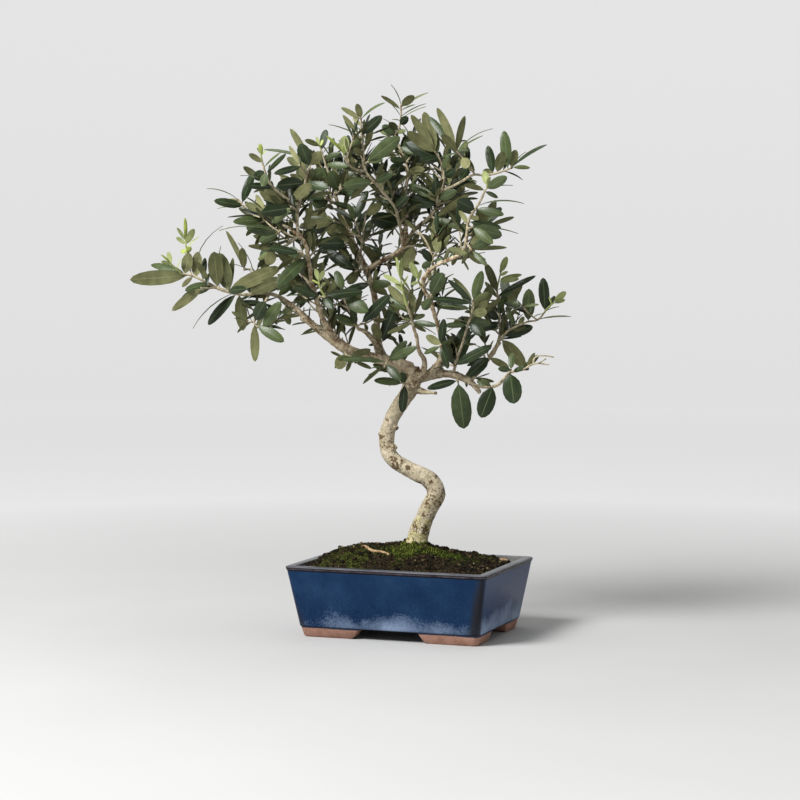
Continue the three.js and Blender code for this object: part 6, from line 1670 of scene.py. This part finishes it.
drawn("centre", [
    [(3, 401, -3, 1.9), (8, 406, -6, 1.9), (15, 411, -10, 2), (22, 419, -14, 1.8), (28, 429, -18, 1.6),
     (31, 442, -22, 1.5), (33, 455, -24, 1.3), (31, 467, -24, 1.2), (28, 474, -26, 1), (24, 480, -28, .9)],
    [(20, 416, -13, 1.2), (24, 413, -20, 1)],
    [(26, 426, -17, 1.2), (26, 431, -26, 1), (27, 436, -30, .9)],
    [(24, 422, -15, 1.4), (34, 424, 12, 1.2), (42, 428, 32, 1.1), (48, 434, 46, 1), (50, 442, 60, .9)],
    [(32, 450, -23, 1.4), (40, 458, 2, 1.2), (46, 462, 20, 1.1), (50, 468, 36, .9)]],
    [(25, 479, 0, 517, 9, 170, -4), (25, 480, 13, 520, 12, 172, 4), (25, 479, -4, 500, 11, 174, -8),
     (29, 472, -5, 489, 13, 8, 6), (27, 476, 20, 508, 10, 5, 10), (28, 474, 12, 470, 8, 8, -8),
     (26, 430, 24, 452, 9, 2, -4), (26, 432, 2, 445, 6, 60, -8), (25, 427, -2, 433, 14, 2, 6),
     (27, 432, 46, 441, 9, 2, 6), (27, 433, 28, 444, 7, 160, 8), (27, 433, -3, 447, 9, 8, 12),
     (24, 413, 58, 437, 7, 166, -6), (23, 414, 56, 402, 8, 8, -8), (23, 414, 50, 420, 6, 172, 8),
     (24, 413, 36, 418, 9, 0, 12), (22, 414, 27, 379, 10, 176, -8), (22, 414, 40, 392, 7, 172, 6),
     (33, 455, 44, 462, 9, 5, -8), (32, 460, 38, 476, 7, 5, -4)], small=[(26, 430, 17, 438, 6, 170, -10)],
    spread=[(3, 1), (4, 1)])
drawn("top_right", [
    [(31, 441, -22, 1.4), (41, 445, -30, 1.3), (52, 451, -36, 1.3), (63, 457, -40, 1.2),
     (72, 456.5, -42, 1.2), (84, 458, -44, 1.1), (96, 462, -46, .9), (101, 464, -46, .8)],
    [(64, 457, -40, 1.1), (56, 469, -42, 1), (45, 481, -44, .9)]],
    [(45, 481, 26, 524, 9, 158, -4), (46, 480, 54, 516, 8, 150, 6), (45, 481, 18, 515, 8, 10, 6),
     (46, 479, 31, 497, 9, 170, -8), (50, 474, 57, 464, 10, 172, -8), (63, 458, 53, 475, 7, 160, 6, .1),
     (100, 464, 105, 482, 9, 168, 4), (101, 464, 136, 487, 7, 60, -6, .08), (97, 462, 93, 501, 11, 2, 4),
     (86, 459, 92, 480, 10, 172, -6), (82, 458, 77, 486, 9, 3, 6), (83, 458, 72, 461, 7, 172, -10),
     (48, 449, 57, 464, 9, 4, 6)],
    small=[(46, 480, 82, 503, 4, 82, 4, .1), (46, 480, 72, 496, 4, 68, -6), (47, 479, 59, 482, 5, 40, 6),
           (46, 480, 56, 487, 4, 60, -10), (47, 478, 30, 474, 4, 60, 8), (101, 464, 119, 464, 5, 30, 8),
           (100, 464, 115, 480, 3, 78, 10), (54, 452, 66, 450, 4, 70, -6)])

# %% [markdown]
# Old boughs sprout too. Short leafy shoots grow off them inside the crown, and small dead stubs stay where
# earlier shoots broke off.

# %% Shoots and stubs on the boughs
lines = [BOUGHS[name] for name in ("left", "leader", "inner", "middle", "right_leader")]
shoots = side_twigs(lines, 9, (14, 26))
stubs = side_twigs(lines + [BOUGHS["right"], BOUGHS["right_up"]], 14, (4, 7))
shoot_leaves = side_leaves(shoots)
# These shoots grow inside the crown and take darker tones: painted shade, besides each leaf's own tone.
shoot_tones = [random.uniform(0, 0.5) for _ in shoot_leaves]
finished(grown("bough_shoots", shoots + stubs, shoot_leaves, shoot_tones), "leaf")

# %% [markdown]
# ## Floor, light and world
#
# A plain pale sweep: a round floor that curves up into a low wall all round, so no edge shows from any side.
# Away from the pot it is lit from behind, as a studio's light wall is, which keeps it even.

# %% Floor and backdrop
paper, tree, shader, spot = material("pale_backdrop_paper", Roughness=0.9)
fibre = add(tree, "TexNoise", {"Vector": spot, "Scale": 3, "Detail": 2})
near = add(tree, "ValToRGB", [fibre], stops=[(0.3, "#a3a3a2"), (0.7, "#a7a7a6")])
distance = add(tree, "VectorMath", [spot], operation="LENGTH", out="Value")
away = add(tree, "MapRange", [distance, 0.35, 1.3])
shade = add(tree, "MixRGB", [away, near, "#6e6e6e"])
link(shader, Base_Color=shade)
shader.inputs["Emission Color"].default_value = linear("#ffffff")
far = add(tree, "MapRange", [distance, 1.2, 5.0, 0.0, 0.09])
glow = add(tree, "Math", [away, 0.58, far], operation="MULTIPLY_ADD")
link(shader, Emission_Strength=glow)
sweep = start("sweep", bpy.ops.mesh.primitive_cylinder_add, (1, 1, 1), (0, 0, 900), vertices=128, radius=5000,
              depth=1800)
pick(sweep, "FACE", lambda p, n: n.z > 0.9)
bpy.ops.mesh.delete(type="FACE")
pick(sweep, "EDGE", lambda p, d: p.z < 1)
bpy.ops.mesh.bevel(offset=1.5, segments=24, affect="EDGES")
bpy.ops.mesh.select_all(action="SELECT")
bpy.ops.mesh.flip_normals()
bpy.ops.object.mode_set(mode="OBJECT")
moved(sweep)
bpy.ops.object.shade_smooth()
sweep.data.materials.append(paper)
sweep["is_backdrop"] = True
print("sweep", len(sweep.data.polygons), "faces")

# %% [markdown]
# The light is a large soft box high on the left, a weaker one on the right, one overhead and an even pale
# surround. Each lamp has its place (right, back, up) and its width in metres, and its power in watts.

# %% Lights
LAMPS = [("key", -1.4, -1.2, 1.9, 1.0, 128), ("fill", 1.7, -1.3, 1.0, 1.8, 7),
         ("top", 0.1, 0.3, 2.1, 1.4, 20)]
for name, right, back, up, wide, power in LAMPS:
    lamp = bpy.data.lights.new(name, "AREA")
    lamp.shape = "SQUARE"
    lamp.size = wide
    lamp.energy = power
    stand = bpy.data.objects.new(name, lamp)
    bpy.context.scene.collection.objects.link(stand)
    stand.location = MIDDLE + RIGHTWARD * right + BACKWARD * back + Vector((0, 0, up))
    aim = MIDDLE + Vector((0, 0, 0.25)) - stand.location
    stand.rotation_euler = aim.to_track_quat("-Z", "Y").to_euler()
world = bpy.data.worlds.new("studio")
bpy.context.scene.world = world
world.use_nodes = True
world.node_tree.nodes["Background"].inputs["Color"].default_value = linear("#f4f3f0")
world.node_tree.nodes["Background"].inputs["Strength"].default_value = 0.14
bpy.context.scene.view_settings.view_transform = "Standard"
print(len(bpy.data.lights), "lamps")

# %% [markdown]
# The templates have done their work and are removed. The script ends by printing the counts and the
# scene's size.

# %% Templates, sizes and end
for template in (grown_leaf, young_leaf, bud):
    bpy.data.objects.remove(template)
print(counted)
low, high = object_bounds()
print("size in mm", [round(v / MM, 1) for v in high - low])
